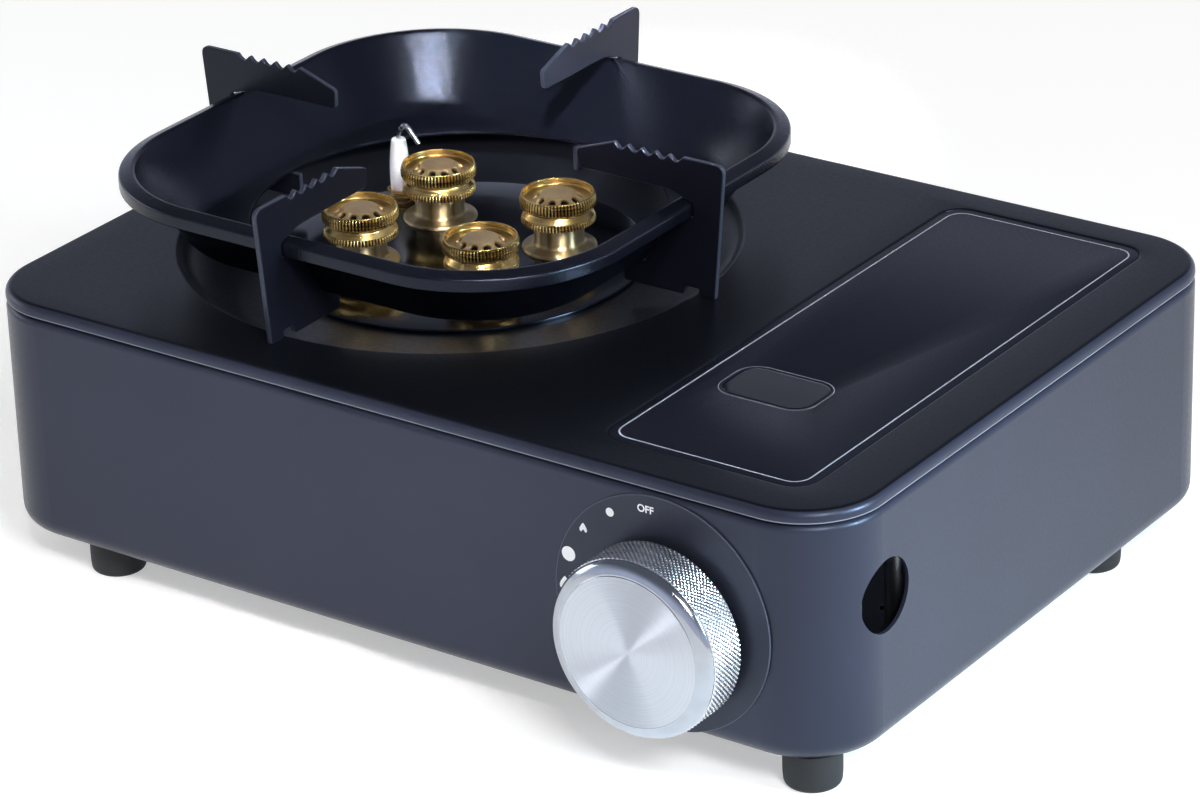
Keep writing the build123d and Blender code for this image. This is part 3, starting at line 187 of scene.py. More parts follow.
# Material tools

def linear(code):
    """An sRGB hex colour as linear values: c / 12.92 up to 0.04045, and ((c + 0.055) / 1.055) to the 2.4
    above."""
    c = np.array([int(code[i:i + 2], 16) for i in (1, 3, 5)]) / 255.0
    c = np.where(c <= 0.04045, c / 12.92, ((c + 0.055) / 1.055) ** 2.4)
    return (float(c[0]), float(c[1]), float(c[2]), 1.0)


def add(tree, kind, inputs, **settings):
    """Adds a node. Inputs are values or other nodes' sockets by input name or number, settings its own
    properties."""
    made = tree.nodes.new(kind)
    for key, value in settings.items():
        setattr(made, key, value)
    for key, value in inputs.items():
        if isinstance(value, bpy.types.NodeSocket):
            tree.links.new(value, made.inputs[key])
        else:
            made.inputs[key].default_value = value
    return made


def material(name, **values):
    """A new Principled material with its plain values set on the shader's own sockets."""
    made = bpy.data.materials.new(name)
    made.use_nodes = True
    shader = made.node_tree.nodes["Principled BSDF"]
    for key, value in values.items():
        shader.inputs[key.replace("_", " ")].default_value = value
    return made, made.node_tree, shader


def per_metre(millimetres):
    """The texture scale that gives a pattern of this size."""
    return 1.0 / (millimetres * MM)


def dress(tree, shader, tone, colours, relief, roughness, depth, strength, marked=None):
    """Gives a shader its colour, roughness and bump. Tone and relief are each a pattern with the lowest and
    highest of its values that count. Tone mixes the two colours, and a third, where the mesh is marked,
    paints a highlight on some finishes and shade on others. Relief moves the roughness between two values and
    is the height of the bump, to a depth in millimetres."""
    pattern, low, high = tone
    share = add(tree, "ShaderNodeMapRange", {0: pattern, 1: low, 2: high, 3: 0.0, 4: 1.0}).outputs[0]
    mixed = add(tree, "ShaderNodeMix", {"Factor": share, "A": linear(colours[0]), "B": linear(colours[1])},
                data_type="RGBA").outputs[2]
    # The marked colour is painted light: pale highlights on edges, dark shade in hollows.
    if marked:
        marks = add(tree, "ShaderNodeAttribute", {}, attribute_name="marks").outputs["Fac"]
        mixed = add(tree, "ShaderNodeMix", {"Factor": marks, "A": mixed, "B": linear(marked)},
                    data_type="RGBA").outputs[2]
    tree.links.new(mixed, shader.inputs["Base Color"])
    pattern, low, high = relief
    rough = add(tree, "ShaderNodeMapRange", {0: pattern, 1: low, 2: high, 3: roughness[0], 4: roughness[1]})
    tree.links.new(rough.outputs[0], shader.inputs["Roughness"])
    bump = add(tree, "ShaderNodeBump", {"Height": pattern, "Strength": strength, "Distance": depth * MM})
    tree.links.new(bump.outputs["Normal"], shader.inputs["Normal"])


def powder_coat(name, dark, light, roughness, grain, depth, gloss, edge=None):
    """Baked polyester powder on pressed steel: it flows out to a satin skin with a fine orange peel and a
    faint cloudiness. The eye sees soft reflections that break up slightly over a nearly black ground. On
    edges that are marked on the mesh the edge colour is a painted highlight: a pale line where the edge
    catches the light."""
    made, tree, shader = material(name, Specular_IOR_Level=gloss, Specular_Tint=linear("#c6d1ef"))
    place = add(tree, "ShaderNodeTexCoord", {}).outputs["Object"]
    peel = add(tree, "ShaderNodeTexNoise", {"Vector": place, "Scale": per_metre(grain), "Detail": 2.0,
                                            "Roughness": 0.6}).outputs["Fac"]
    cloud = add(tree, "ShaderNodeTexNoise", {"Vector": place, "Scale": per_metre(35.0),
                                             "Detail": 3.0}).outputs["Fac"]
    dress(tree, shader, (cloud, 0.3, 0.7), (dark, light), (peel, 0.25, 0.75),
          (roughness - 0.05, roughness + 0.06), depth, 0.5, edge)
    return made


def turned_metal(name, colour, worn, roughness, line, depth, squeeze=(0.06, 0.06, 1.0), painted_shade=None, metal=1.0,
                 stretch=0.0):
    """Metal cut on a lathe: fine tool lines run round the axis, so their noise is squeezed across it, and a
    little tarnish varies the tone. The eye sees bright streaks along the axis. The painted shade colour
    darkens the hollows marked on the mesh. Less than a full metal stands for the light that fine teeth and
    tarnish scatter back, and stretch draws the gloss out across the tool lines."""
    made, tree, shader = material(name, Metallic=metal, Anisotropic=stretch, Anisotropic_Rotation=0.25)
    place = add(tree, "ShaderNodeTexCoord", {}).outputs["Object"]
    squeezed = add(tree, "ShaderNodeMapping", {"Vector": place, "Scale": squeeze}).outputs["Vector"]
    lines = add(tree, "ShaderNodeTexNoise", {"Vector": squeezed, "Scale": per_metre(line),
                                             "Detail": 2.0}).outputs["Fac"]
    tarnish = add(tree, "ShaderNodeTexNoise", {"Vector": place, "Scale": per_metre(5.0),
                                               "Detail": 4.0}).outputs["Fac"]
    dress(tree, shader, (tarnish, 0.4, 0.8), (colour, worn), (lines, 0.3, 0.7),
          (roughness - 0.05, roughness + 0.08), depth, 0.3, painted_shade)
    if stretch:
        along = add(tree, "ShaderNodeTangent", {}, direction_type="UV_MAP", uv_map="grid")
        tree.links.new(along.outputs["Tangent"], shader.inputs["Tangent"])
    return made


def spun_metal(name, dark, light, roughness, line, depth):
    """Aluminium faced on a lathe: rings of cutter lines round the knob's axis, drawn 0.35 mm apart so that
    they show. The gloss is stretched across the rings, so the eye sees a bright bow tie through the middle
    and fine circles."""
    made, tree, shader = material(name, Metallic=1.0, Anisotropic=0.96, Anisotropic_Rotation=0.25)
    place = add(tree, "ShaderNodeTexCoord", {}).outputs["Object"]
    centred = add(tree, "ShaderNodeMapping", {"Vector": place, "Location": (-KNOB_X * MM, 0.0, -KNOB_Z * MM)})
    flat = add(tree, "ShaderNodeVectorMath", {0: centred.outputs["Vector"], 1: (1.0, 0.0, 1.0)},
               operation="MULTIPLY")
    radius = add(tree, "ShaderNodeVectorMath", {0: flat.outputs["Vector"]}, operation="LENGTH")
    rings = add(tree, "ShaderNodeTexNoise", {"W": radius.outputs["Value"], "Scale": per_metre(line),
                                             "Detail": 1.0}, noise_dimensions="1D").outputs["Fac"]
    dress(tree, shader, (rings, 0.3, 0.7), (dark, light), (rings, 0.3, 0.7),
          (roughness - 0.04, roughness + 0.04), depth, 0.4)
    along = add(tree, "ShaderNodeTangent", {}, direction_type="UV_MAP", uv_map="grid")
    tree.links.new(along.outputs["Tangent"], shader.inputs["Tangent"])
    return made


def plain_grain(name, dark, light, roughness, grain, depth, **values):
    """A moulded, fired, printed or plated surface: a slight mottle and a fine grain, at a real size in
    millimetres. The eye sees an even surface that isn't quite one tone."""
    made, tree, shader = material(name, **values)
    place = add(tree, "ShaderNodeTexCoord", {}).outputs["Object"]
    mottle = add(tree, "ShaderNodeTexNoise", {"Vector": place, "Scale": per_metre(grain),
                                              "Detail": 3.0}).outputs["Fac"]
    dress(tree, shader, (mottle, 0.3, 0.7), (dark, light), (mottle, 0.3, 0.7),
          (roughness - 0.05, roughness + 0.05), depth, 0.3)
    return made


# Finishes

# Powder coats: two tones, roughness, the peel's grain and depth in millimetres, gloss and the colour of the
# painted highlight on marked edges.
# The tray is a satin blue grey, the fins are nearly black, and the two films are smoother.
body_coat = powder_coat("powder_coated_tray", "#222430", "#262835", 0.34, 1.1, 0.02, 0.5, "#8b90a0")
# The lid's top is a nearly black copy of the tray's paint, which the lid's skirt keeps: painted shade.
top_coat = powder_coat("powder_coated_lid", "#050609", "#08090d", 0.34, 1.3, 0.03, 0.38, "#1c1e28")
fin_coat = powder_coat("coated_fin_steel", "#0b0c13", "#0e0f17", 0.34, 0.9, 0.02, 0.34, "#30333f")
inlay_coat = powder_coat("printed_inlay_film", "#0f1017", "#11121a", 0.46, 0.6, 0.005, 0.26)
dial_coat = powder_coat("dial_film", "#1e2029", "#22242d", 0.34, 0.8, 0.01, 0.5, "#4c505d")
# The bowl is glossier. Its peel is drawn coarser and deeper than the real one, which spreads the highlight.
bowl_coat = powder_coat("nonstick_coated_steel", "#05060b", "#080910", 0.21, 0.6, 0.17, 0.38, "#0c0d13")

# Turned metals: bright and tarnished tone, roughness, the tool lines' spacing and depth in millimetres.
# The heads are golden with painted shade in their gaps and cups, the caps browner with painted shade in their
# ports, the stems pale and the plate a dark mirror.
head_brass = turned_metal("turned_brass", "#e6c581", "#d5ac62", 0.26, 0.8, 0.002, painted_shade="#0c0702", stretch=0.5)
cap_bronze = turned_metal("pressed_bronze_cap", "#c0a277", "#a98d65", 0.36, 0.6, 0.03, painted_shade="#0d0803",
                          metal=0.85)
stem_brass = turned_metal("turned_pale_brass", "#cdb98f", "#bda77d", 0.36, 1.2, 0.001, stretch=0.95)
plate_steel = turned_metal("dark_burner_steel", "#2e313a", "#282b33", 0.15, 1.2, 0.01)
# The knob's lines run round its own axis, along Y: a silvery grip, a mirror edge and a streaked face.
ALONG_KNOB = (0.06, 1.0, 0.06)
knob_metal = turned_metal("knurled_aluminium", "#dfe1e6", "#d5d8de", 0.3, 0.4, 0.005, ALONG_KNOB)
rim_metal = turned_metal("polished_aluminium_edge", "#b2b6be", "#a9adb5", 0.12, 0.4, 0.005, ALONG_KNOB)
face_metal = spun_metal("spun_aluminium_face", "#c4c7cf", "#cfd2d9", 0.42, 0.35, 0.005)

# Plain finishes: two tones, roughness, the mottle's size and depth in millimetres.
# Drawn wire and plated metals shine softly, and the die casting is duller, with a cast grain.
wire_steel = plain_grain("nickel_wire", "#c9cacc", "#d4d5d7", 0.25, 1.0, 0.01, Metallic=1.0)
die_cast = plain_grain("zinc_die_casting", "#a9abb0", "#b4b6ba", 0.45, 0.6, 0.03, Metallic=1.0)
magnet = plain_grain("nickel_plated_magnet", "#8f9195", "#9a9ca0", 0.3, 1.5, 0.01, Metallic=1.0)
zinc = plain_grain("zinc_plated_steel", "#a4a7ac", "#b5b8bc", 0.38, 4.0, 0.01, Metallic=1.0)
# Glazed ceramic is white with a soft gleam, and rubber, nylon and silicone are matt as they leave the mould.
ceramic = plain_grain("glazed_alumina", "#d4d4d6", "#dadadc", 0.22, 2.0, 0.01)
rubber = plain_grain("moulded_rubber", "#141518", "#191a1d", 0.7, 0.6, 0.05)
black_plastic = plain_grain("moulded_black_nylon", "#1b1c1f", "#222327", 0.5, 0.5, 0.03)
sleeve = plain_grain("silicone_sleeve", "#b9b8b2", "#c2c1bb", 0.5, 1.0, 0.02)
# Screen printed inks are flat and slightly uneven, and the lens is clear and smoky over the dark bay.
ink = plain_grain("screen_printed_ink", "#f0f1f5", "#f6f7fa", 0.5, 0.4, 0.01)
# The grey line round the inlay is print, and round the window it is a painted highlight of the opening's
# edge.
grey_print_and_highlight = plain_grain("grey_print_and_painted_highlight", "#9699a6", "#a3a6b2", 0.5, 0.4, 0.01)
lens_plastic = plain_grain("clear_acrylic", "#5a5e69", "#60646f", 0.06, 20.0, 0.01, Transmission_Weight=1.0,
                           IOR=1.49, Specular_IOR_Level=0.1)

by_slot = {"body_coat": body_coat, "top_coat": top_coat, "inlay_coat": inlay_coat, "dial_coat": dial_coat,
           "bowl_coat": bowl_coat, "fin_coat": fin_coat, "brass": head_brass, "burner_stem_brass": stem_brass,
           "burner_plate_steel": plate_steel, "white_ceramic": ceramic, "knob_aluminium": knob_metal,
           "rubber": rubber, "dark_plastic": black_plastic, "lead_sleeve": sleeve, "die_cast": die_cast,
           "magnet": magnet, "zinc_steel": zinc, "clear_lens": lens_plastic}
for subpart in frame["record"]["subparts"]:
    mesh = nodes[subpart["node"]].data
    mesh.materials.clear()
    mesh.materials.append(by_slot[subpart["material_slot"]])

# Knob

FACE_RADIUS, FACE_REACH = 20.2, 17.3


def knob_grip():
    """Knurled grip: a profile of radius and reach turned about the knob's axis. On the grip two crossing
    sets of helical grooves cut the radius by depth times the larger of their triangle waves, which leaves
    small pyramids."""
    teeth, per_tooth, depth = 112, 6, 0.3
    columns = teeth * per_tooth
    pitch = 2 * np.pi * KNOB_RADIUS / teeth
    reach = np.linspace(3.2, 14.2, 62)
    grip = np.stack([0 * reach + KNOB_RADIUS, reach], -1)
    back = [(4.05, 8.0), (4.05, 2.3), (23.0, 2.3), (24.0, 3.0)]
    front = [(23.95, 14.4)]
    profile = np.concatenate([back, grip, front])
    grid = turned(profile, columns)
    share = np.arange(columns)[None, :] / per_tooth
    along = profile[:, 1:] / pitch
    wave = np.maximum(np.abs(2 * ((share + along) % 1) - 1), np.abs(2 * ((share - along) % 1) - 1))
    on_grip = np.zeros((len(profile), 1))
    on_grip[len(back):len(back) + len(grip)] = 1
    grid[..., :2] *= (1 - on_grip * depth * wave / KNOB_RADIUS)[..., None]
    return facing_front(grid, KNOB_X, KNOB_Z)


def knob_rim():
    """Polished edge of the knob: a narrow collar, a full round of two soft facets and a fine raised line
    where the face begins, turned about the knob's axis."""
    corners = [(23.95, 14.4), (24.1, 14.55), (24.1, 14.9), (23.6, 15.9), (22.4, 16.7), (21.0, 17.2),
               (20.7, 17.2), (20.55, 17.36), (20.3, 17.36), (FACE_RADIUS, FACE_REACH)]
    profile = bent(corners, (0.05, 0.15, 0.6, 0.6, 0.15, 0.1, 0.08, 0.08), 5)
    return facing_front(turned(profile, 240), KNOB_X, KNOB_Z)


def knob_face():
    """Spun end of the knob: rings from the raised line to the middle, dished by depth times (1 - (r / R)
    squared)."""
    depth = 0.12
    radius = np.linspace(FACE_RADIUS, 0.0, 40)
    profile = np.stack([radius, FACE_REACH - depth * (1 - (radius / FACE_RADIUS) ** 2)], -1)
    return facing_front(turned(profile, 180), KNOB_X, KNOB_Z)


piece("knob_grip", [(knob_grip(), True)], knob_metal, "knob_set", ["knob"], crease=30.0)
piece("knob_rim", [(knob_rim(), True)], rim_metal, "knob_set", ["knob"], crease=25.0)
piece("knob_face", [(knob_face(), True)], face_metal, "knob_set", ["knob"], crease=60.0)

# Dial behind the knob

DIAL_X, DIAL_Z, DIAL_RADIUS, DIAL_BORE, DIAL_FRONT = KNOB_X - 1.0, KNOB_Z + 3.2, 32.2, 10.5, 0.6
PRINT_Y = FRONT_Y - DIAL_FRONT - 0.02


def dial_disc():
    """Thin stamped disc with a broken edge, turned about its own middle. The edge's points are marked for a
    painted highlight: a pale line where the broken edge catches the light."""
    edge = DIAL_RADIUS - 0.3
    profile = bent([(DIAL_BORE, 0.02), (DIAL_RADIUS, 0.02), (DIAL_RADIUS, DIAL_FRONT), (edge, DIAL_FRONT),
                    (DIAL_BORE, DIAL_FRONT)], 0.1, 4)
    columns = 160
    # Painted highlight: a pale line along the broken edge.
    pale = (np.hypot(profile[:, 0] - edge - 0.22, profile[:, 1] - DIAL_FRONT) < 0.14) * np.ones((columns, 1))
    return facing_front(turned(profile, columns), DIAL_X, DIAL_Z), pale.T


def blot(outline, x, z):
    """A printed shape: rays from its middle to its outline, a hair in front of the dial."""
    rows = np.linspace(1.0, 0.0, 4)[:, None, None] * outline[None]
    return np.stack([x + rows[..., 0], PRINT_Y + 0 * rows[..., 0], z + rows[..., 1]], -1)


def round_outline(radius):
    """A circle."""
    angle = np.linspace(0, 2 * np.pi, 40, endpoint=False)
    return radius * np.stack([np.cos(angle), np.sin(angle)], -1)


def flame_outline(height):
    """A flame: half width 0.42 sin(pi t to the 0.55) to the 0.8 up to its tip, with a notch pushed up into
    its foot."""
    t = np.concatenate([np.linspace(0, 1, 24), np.linspace(1, 0, 24)[1:-1]])
    side = np.concatenate([np.ones(24), -np.ones(22)])
    across = side * 0.42 * np.sin(np.pi * t ** 0.55) ** 0.8
    notch = 0.34 * np.clip(1 - np.abs(across) / 0.15, 0, 1) * (t < 0.2)
    return height * np.stack([across, t - 0.45 + notch], -1)


disc, pale = dial_disc()
piece("dial_disc", [(disc, True)], dial_coat, "stove", ["dial_plate"], marks=[pale])
# Each print's outline and its place, across and up
PRINTS = [(round_outline(1.2), 72.1, 68.1), (flame_outline(2.7), 63.8, 61.5),
          (round_outline(2.05), 59.0, 53.1), (flame_outline(3.9), 57.6, 44.3)]
piece("dial_prints", [(blot(*shown), True) for shown in PRINTS], ink, "stove", ())


def off_word():
    """The word OFF as flat letters on the dial, about 2 mm high, made a mesh and moved to their place."""
    word_x, word_z = 82.9, 71.6
    text = bpy.data.curves.new("off_letters", "FONT")
    text.body, text.size, text.offset = "OFF", 2.8, 0.07
    text.align_x, text.align_y = "CENTER", "CENTER"
    thing = bpy.data.objects.new("off_letters", text)
    bpy.context.scene.collection.objects.link(thing)
    mesh = bpy.data.meshes.new_from_object(thing.evaluated_get(bpy.context.evaluated_depsgraph_get()))
    bpy.data.objects.remove(thing)
    flat = np.zeros(len(mesh.vertices) * 3)
    mesh.vertices.foreach_get("co", flat)
    flat = flat.reshape(-1, 3)
    placed = np.stack([word_x + flat[:, 0], PRINT_Y + 0 * flat[:, 0], word_z + flat[:, 1]], -1)
    mesh.vertices.foreach_set("co", placed.ravel() * MM)
    mesh.materials.clear()
    finish_piece("dial_word", mesh, ink, "stove", (), 40.0)


off_word()

# Burners

HEAD_Z, HEAD_RADIUS = 83.0, 10.6
BURNERS = {"front_left": (-1, -1), "front_right": (1, -1), "back_right": (1, 1), "back_left": (-1, 1)}


def burner_head():
    """Brass head turned about its own axis: low ring, V neck, high ring and a shallow cup. Both rings have
    straight knurls: there the radius falls by depth times 0.5 - 0.5 cos(teeth x angle). The gaps are marked
    for painted shade, and the inside of the cup a little."""
    teeth, z = 68, HEAD_Z
    low_depth, high_depth = 0.4, 0.5
    columns = teeth * 8
    low = bent([(5.05, z), (9.9, z), (10.35, z + 0.25), (10.3, z + 1.1), (9.95, z + 1.95)],
               (0.1, 0.1, 0.3), 4)
    neck = bent([(9.95, z + 2.0), (8.7, z + 3.45), (8.7, z + 3.9), (9.9, z + 4.6)], (0.3, 0.2), 5)
    high = bent([(9.95, z + 4.65), (10.55, z + 4.8), (HEAD_RADIUS, z + 7.0), (10.15, z + 8.1)],
                (0.12, 0.6), 5)
    rim = bent([(10.15, z + 8.1), (10.1, z + 8.3), (9.75, z + 8.3), (9.6, z + 6.4), (8.3, z + 6.3),
                (7.0, z + 6.3)], (0.1, 0.15, 0.5, 0.5), 5)
    profile = np.concatenate([low, neck, high, rim])
    grid = turned(profile, columns)
    angle = np.linspace(0, 2 * np.pi, columns, endpoint=False)[None, :]
    band = np.repeat([low_depth, 0.0, high_depth, 0.0], [len(low), len(neck), len(high), len(rim)])[:, None]
    band[0] = 0.0
    gap = 0.5 - 0.5 * np.cos(teeth * angle)
    grid[..., :2] *= (1 - band * gap / HEAD_RADIUS)[..., None]
    cup = np.concatenate([np.zeros(len(profile) - len(rim)), rim[:, 1] < z + 8.0])[:, None]
    # Painted shade: deep in the knurls' gaps, and a little over the inside of the cup.
    return grid, np.clip(2.4 * gap - 0.8, 0, 0.97) * (band > 0) + 0.3 * cup


def burner_cap():
    """Bronze cap in the cup: a steep cone up to a flat button. Ten round ports on the cone are pushed in
    along its normal and marked for painted shade."""
    ports, port_radius, depth, z = 10, 1.22, 1.0, HEAD_Z
    columns = ports * 28
    t = np.linspace(0, 1, 30)[:, None]
    cone = np.array([[7.4, z + 6.2]]) * (1 - t) + np.array([[4.75, z + 7.95]]) * t
    button = bent([(4.7, z + 7.98), (4.5, z + 8.05), (2.0, z + 8.05), (0.0, z + 8.05)], 0.25, 4)
    profile = np.concatenate([cone, button])
    grid = turned(profile, columns)
    angle = np.linspace(0, 2 * np.pi, columns, endpoint=False)[None, :]
    round_way = ((angle * ports / (2 * np.pi) + 0.5) % 1 - 0.5) * 2 * np.pi / ports * profile[:, :1]
    up_way = np.hypot(profile[:, :1] - 6.0, profile[:, 1:] - z - 7.12)
    pit = np.clip((port_radius - np.hypot(round_way, up_way)) / 0.2, 0, 1)
    pit[len(cone):] = 0.0
    inward = np.stack([0.55 * np.cos(angle), 0.55 * np.sin(angle), 0.83 + 0 * angle], -1)
    # The ports' mark is painted shade inside them.
    return grid - depth * pit[..., None] * inward, pit


def burner_stem():
    """Pale brass stem turned about its own axis: flange, flared foot, straight stem up into the head."""
    profile = bent([(4.5, PLATE_Z), (10.4, PLATE_Z), (10.4, PLATE_Z + 0.7), (9.9, PLATE_Z + 1.0),
                    (7.4, PLATE_Z + 1.6), (6.95, PLATE_Z + 2.2), (6.95, HEAD_Z), (5.0, HEAD_Z)],
                   (0.1, 0.35, 0.4, 0.5, 0.4, 0.1), 5)
    return turned(profile, 96)


head, head_painted_shade = burner_head()
cap, cap_painted_shade = burner_cap()
stem = burner_stem()
for name, (side_x, side_y) in BURNERS.items():
    x, y = DISH_X + side_x * BURNER_DX, MID_Y + side_y * BURNER_DY
    piece("burner_head_brass_" + name, [(moved(head, x, y), True)], head_brass, "stove",
          ["burner_head_" + name], crease=35.0, marks=[head_painted_shade])
    piece("burner_cap_" + name, [(moved(cap, x, y), True)], cap_bronze, "stove",
          ["burner_head_" + name], crease=50.0, marks=[cap_painted_shade])
    piece("burner_stem_turned_" + name, [(moved(stem, x, y), True)], stem_brass, "stove",
          ["burner_stem_" + name], crease=35.0)


def burner_floor():
    """Round plate under the burners with a broken edge, turned about the dish's axis."""
    corners = [(0.0, PLATE_Z), (40.0, PLATE_Z), (PLATE_RADIUS, PLATE_Z), (PLATE_RADIUS, PLATE_Z - 0.9)]
    profile = bent(corners, 0.4, 4)
    return moved(turned(profile[::-1], 160), DISH_X, MID_Y)


piece("burner_floor", [(burner_floor(), True)], plate_steel, "stove", ["burner_plate"])

# Igniter

IGNITER_X, IGNITER_Y, IGNITER_TOP = DISH_X - 37.5, MID_Y + 22.5, PLATE_Z + 18.5


def tube(path, radius, columns):
    """A round section carried along a path in the XZ plane: centre plus radius times the path's normal and
    Y axis."""
    ahead = np.gradient(path, axis=0)
    ahead /= np.linalg.norm(ahead, axis=1, keepdims=True)
    side = np.stack([-ahead[:, 2], 0 * ahead[:, 0], ahead[:, 0]], -1)
    angle = np.linspace(0, 2 * np.pi, columns, endpoint=False)[None, :, None]
    out = np.cos(angle) * side[:, None] - np.sin(angle) * np.array([0.0, 1.0, 0.0])
    return path[:, None] + radius[:, None, None] * out


def igniter_post():
    """Ceramic insulator turned about its own axis: widest below the middle, drawn in to a flat top."""
    top = IGNITER_TOP
    corners = [(0.0, 62.0), (2.5, 62.0), (2.5, PLATE_Z), (2.7, PLATE_Z + 0.5), (2.95, top - 8.0),
               (2.1, top - 0.4), (1.8, top), (0.65, top)]
    profile = bent(corners, (0.3, 0.3, 0.3, 4.0, 0.3, 0.2), 6)
    return moved(turned(profile, 48), IGNITER_X, IGNITER_Y)


def igniter_collar():
    """Six-sided collar with broken corners: rings of a hexagon whose radius is its flat / cos(angle to the
    flat), up to the corners' radius."""
    across_flat, corner, height = 3.46, 3.9, 3.6
    angle = np.linspace(0, 2 * np.pi, 96, endpoint=False)
    flat = np.minimum(across_flat / np.cos((angle + np.pi / 6) % (np.pi / 3) - np.pi / 6), corner)
    profile = bent([(0.9, PLATE_Z), (1.0, PLATE_Z), (1.0, PLATE_Z + height), (0.66, PLATE_Z + height)],
                   (0.02, 0.08), 4)
    ring = profile[:, :1] * flat
    rows = np.stack([ring * np.cos(angle), ring * np.sin(angle), profile[:, 1:] + 0 * ring], -1)
    return moved(rows, IGNITER_X, IGNITER_Y)


def igniter_wire():
    """Electrode wire: straight up through the post, over in a tight hook and slanting down, with a rounded
    end."""
    top = IGNITER_TOP
    path = bent([(0.0, 0.0, 61.0), (0.0, 0.0, top + 1.2), (2.5, 0.0, top + 5.4), (7.2, 0.0, top - 0.5)],
                (1.2, 3.4), 12)
    radius = np.append(np.full(len(path) - 1, 0.7), [0.62, 0.0])
    path = np.concatenate([path[:-1], path[-1:] + [[0.0, 0.0, 0.3]], path[-1:]])
    return moved(tube(path, radius, 20), IGNITER_X, IGNITER_Y)


piece("igniter_insulator", [(igniter_post(), True)], ceramic, "stove", ["igniter_post"])
piece("igniter_nut", [(igniter_collar(), True)], head_brass, "stove", ["igniter_collar"])
piece("igniter_electrode", [(igniter_wire(), True)], wire_steel, "stove", ["igniter_wire"])

# Wind bowl

def wind_bowl():
    """Pressed pan: each row is a rounded square with its own half width, corner radius and height. The rows
    run from the round opening out under the floor, up the outer wall, round the rolled rim and down inside.
    Near the rim's outer edge the points are marked for a painted highlight, by a bell curve of their distance
    from it."""
    corners = [(57.5, 57.5, 87.5), (57.5, 57.5, 87.0), (61.6, 31.0, 87.0), (72.9, 38.2, 105.6),
               (76.8, 42.0, 105.5), (76.8, 42.0, 103.1), (77.8, 43.0, 103.1), (77.8, 43.0, 106.7),
               (73.7, 39.4, 108.0), (61.0, 29.5, 88.0), (57.5, 57.5, 88.0), (57.5, 57.5, 87.5)]
    reach = (0.3, 2.5, 0.8, 0.4, 0.3, 0.35, 0.9, 1.3, 5.0, 0.3)
    rows = bent(corners, reach, 6)
    flat = rounded(rows[:, 0], rows[:, 0], rows[:, 1:2] * np.ones((1, 4)), 26, 16)
    # Painted highlight along the rolled rim's outer edge.
    pale = np.exp(-((rows[:, 0] - 77.6) ** 2 + (rows[:, 2] - 106.6) ** 2) / 0.6 ** 2)[:, None]
    return moved(raised(flat, rows[:, 2]), DISH_X, MID_Y), pale * np.ones((1, flat.shape[1]))


pan, pale = wind_bowl()
piece("wind_bowl_pan", [(pan, True)], bowl_coat, "trivet", ["wind_bowl"], crease=50.0,
      marks=[pale])

# Pot-support fins

FIN_TOP, FIN_NOTCHES, FIN_THICKNESS, FIN_EDGE = 119.3, 5, 1.6, 0.25


def fin_outline():
    """Fin in distance from the dish's axis and height: bent corners, and on top five round notches, where
    the height falls by depth times (0.5 - 0.5 cos(2 pi t)) to the 0.7."""
    notched_from, notched_to, depth = 75.0, 53.0, 1.6
    slot_z, under_z, wall_slope = 102.9, 87.0, 0.61
    t = np.linspace(0, FIN_NOTCHES, 12 * FIN_NOTCHES + 1)
    notch = depth * (0.5 - 0.5 * np.cos(2 * np.pi * t)) ** 0.7
    teeth = np.stack([notched_from - t * (notched_from - notched_to) / FIN_NOTCHES, FIN_TOP - notch], -1)
    wall = 62.0 + wall_slope * (slot_z - under_z)
    lower = [(notched_to, FIN_TOP), (40.6, 115.0), (40.9, 109.6), (70.5, 109.4), (73.6, 108.25),
             (78.0, 106.95), (78.0, slot_z), (wall, slot_z), (62.08, under_z), (55.0, under_z), (55.0, 79.9),
             (74.2, 79.9), (75.2, 82.5), (79.2, 82.5), (79.2, TOP_Z), (84.4, TOP_Z), (88.0, FIN_TOP),
             (notched_from, FIN_TOP)]
    reach = (1.2, 1.2, 0.9, 0.5, 0.5, 0.4, 0.4, 0.4, 0.3, 1.0, 0.7, 0.6, 0.5, 0.4, 0.5, 2.8)
    return np.concatenate([teeth[:-1], bent(lower, reach, 6)[:-1]])


def slab(name, outline, thickness, edge, turn, finish, replaced):
    """A flat plate from an outline: two rings a little inside the outline on its faces, two on it, joined
    round the edge, and a face on each side. It stands on a radius of the dish at the given turn. Its edge is
    marked for a painted highlight, where the narrow edge catches the light."""
    ahead = np.roll(outline, -1, 0) - np.roll(outline, 1, 0)
    ahead /= np.linalg.norm(ahead, axis=1, keepdims=True)
    inside = outline + edge * np.stack([-ahead[:, 1], ahead[:, 0]], -1)
    half = thickness / 2
    rings = [(inside, half), (outline, half - edge), (outline, edge - half), (inside, -half)]
    grid = np.stack([np.stack([o[:, 0], 0 * o[:, 0] + across, o[:, 1]], -1) for o, across in rings])
    c, s = np.cos(np.radians(turn)), np.sin(np.radians(turn))
    x, y, z = np.moveaxis(grid, -1, 0)
    grid = moved(np.stack([c * x - s * y, s * x + c * y, z], -1), DISH_X, MID_Y) * MM
    count = len(outline)
    faces = skin(4, count, True).tolist()
    faces += [np.arange(count)[::-1].tolist(), np.arange(3 * count, 4 * count).tolist()]
    mesh = bpy.data.meshes.new(name)
    mesh.from_pydata(grid.reshape(-1, 3).tolist(), [], faces)
    # Painted highlight on the fin's edge rings.
    pale = np.repeat([0.0, 1.0, 1.0, 0.0], count).astype(np.float32)
    mesh.attributes.new("marks", "FLOAT", "POINT").data.foreach_set("value", pale)
    return finish_piece(name, mesh, finish, "trivet", replaced, 30.0)


outline = fin_outline()
for name, turn in (("right", 0), ("back", 90), ("left", 180), ("front", 270)):
    slab("pot_fin_" + name, outline, FIN_THICKNESS, FIN_EDGE, turn, fin_coat, ["fin_" + name])

# Top plate

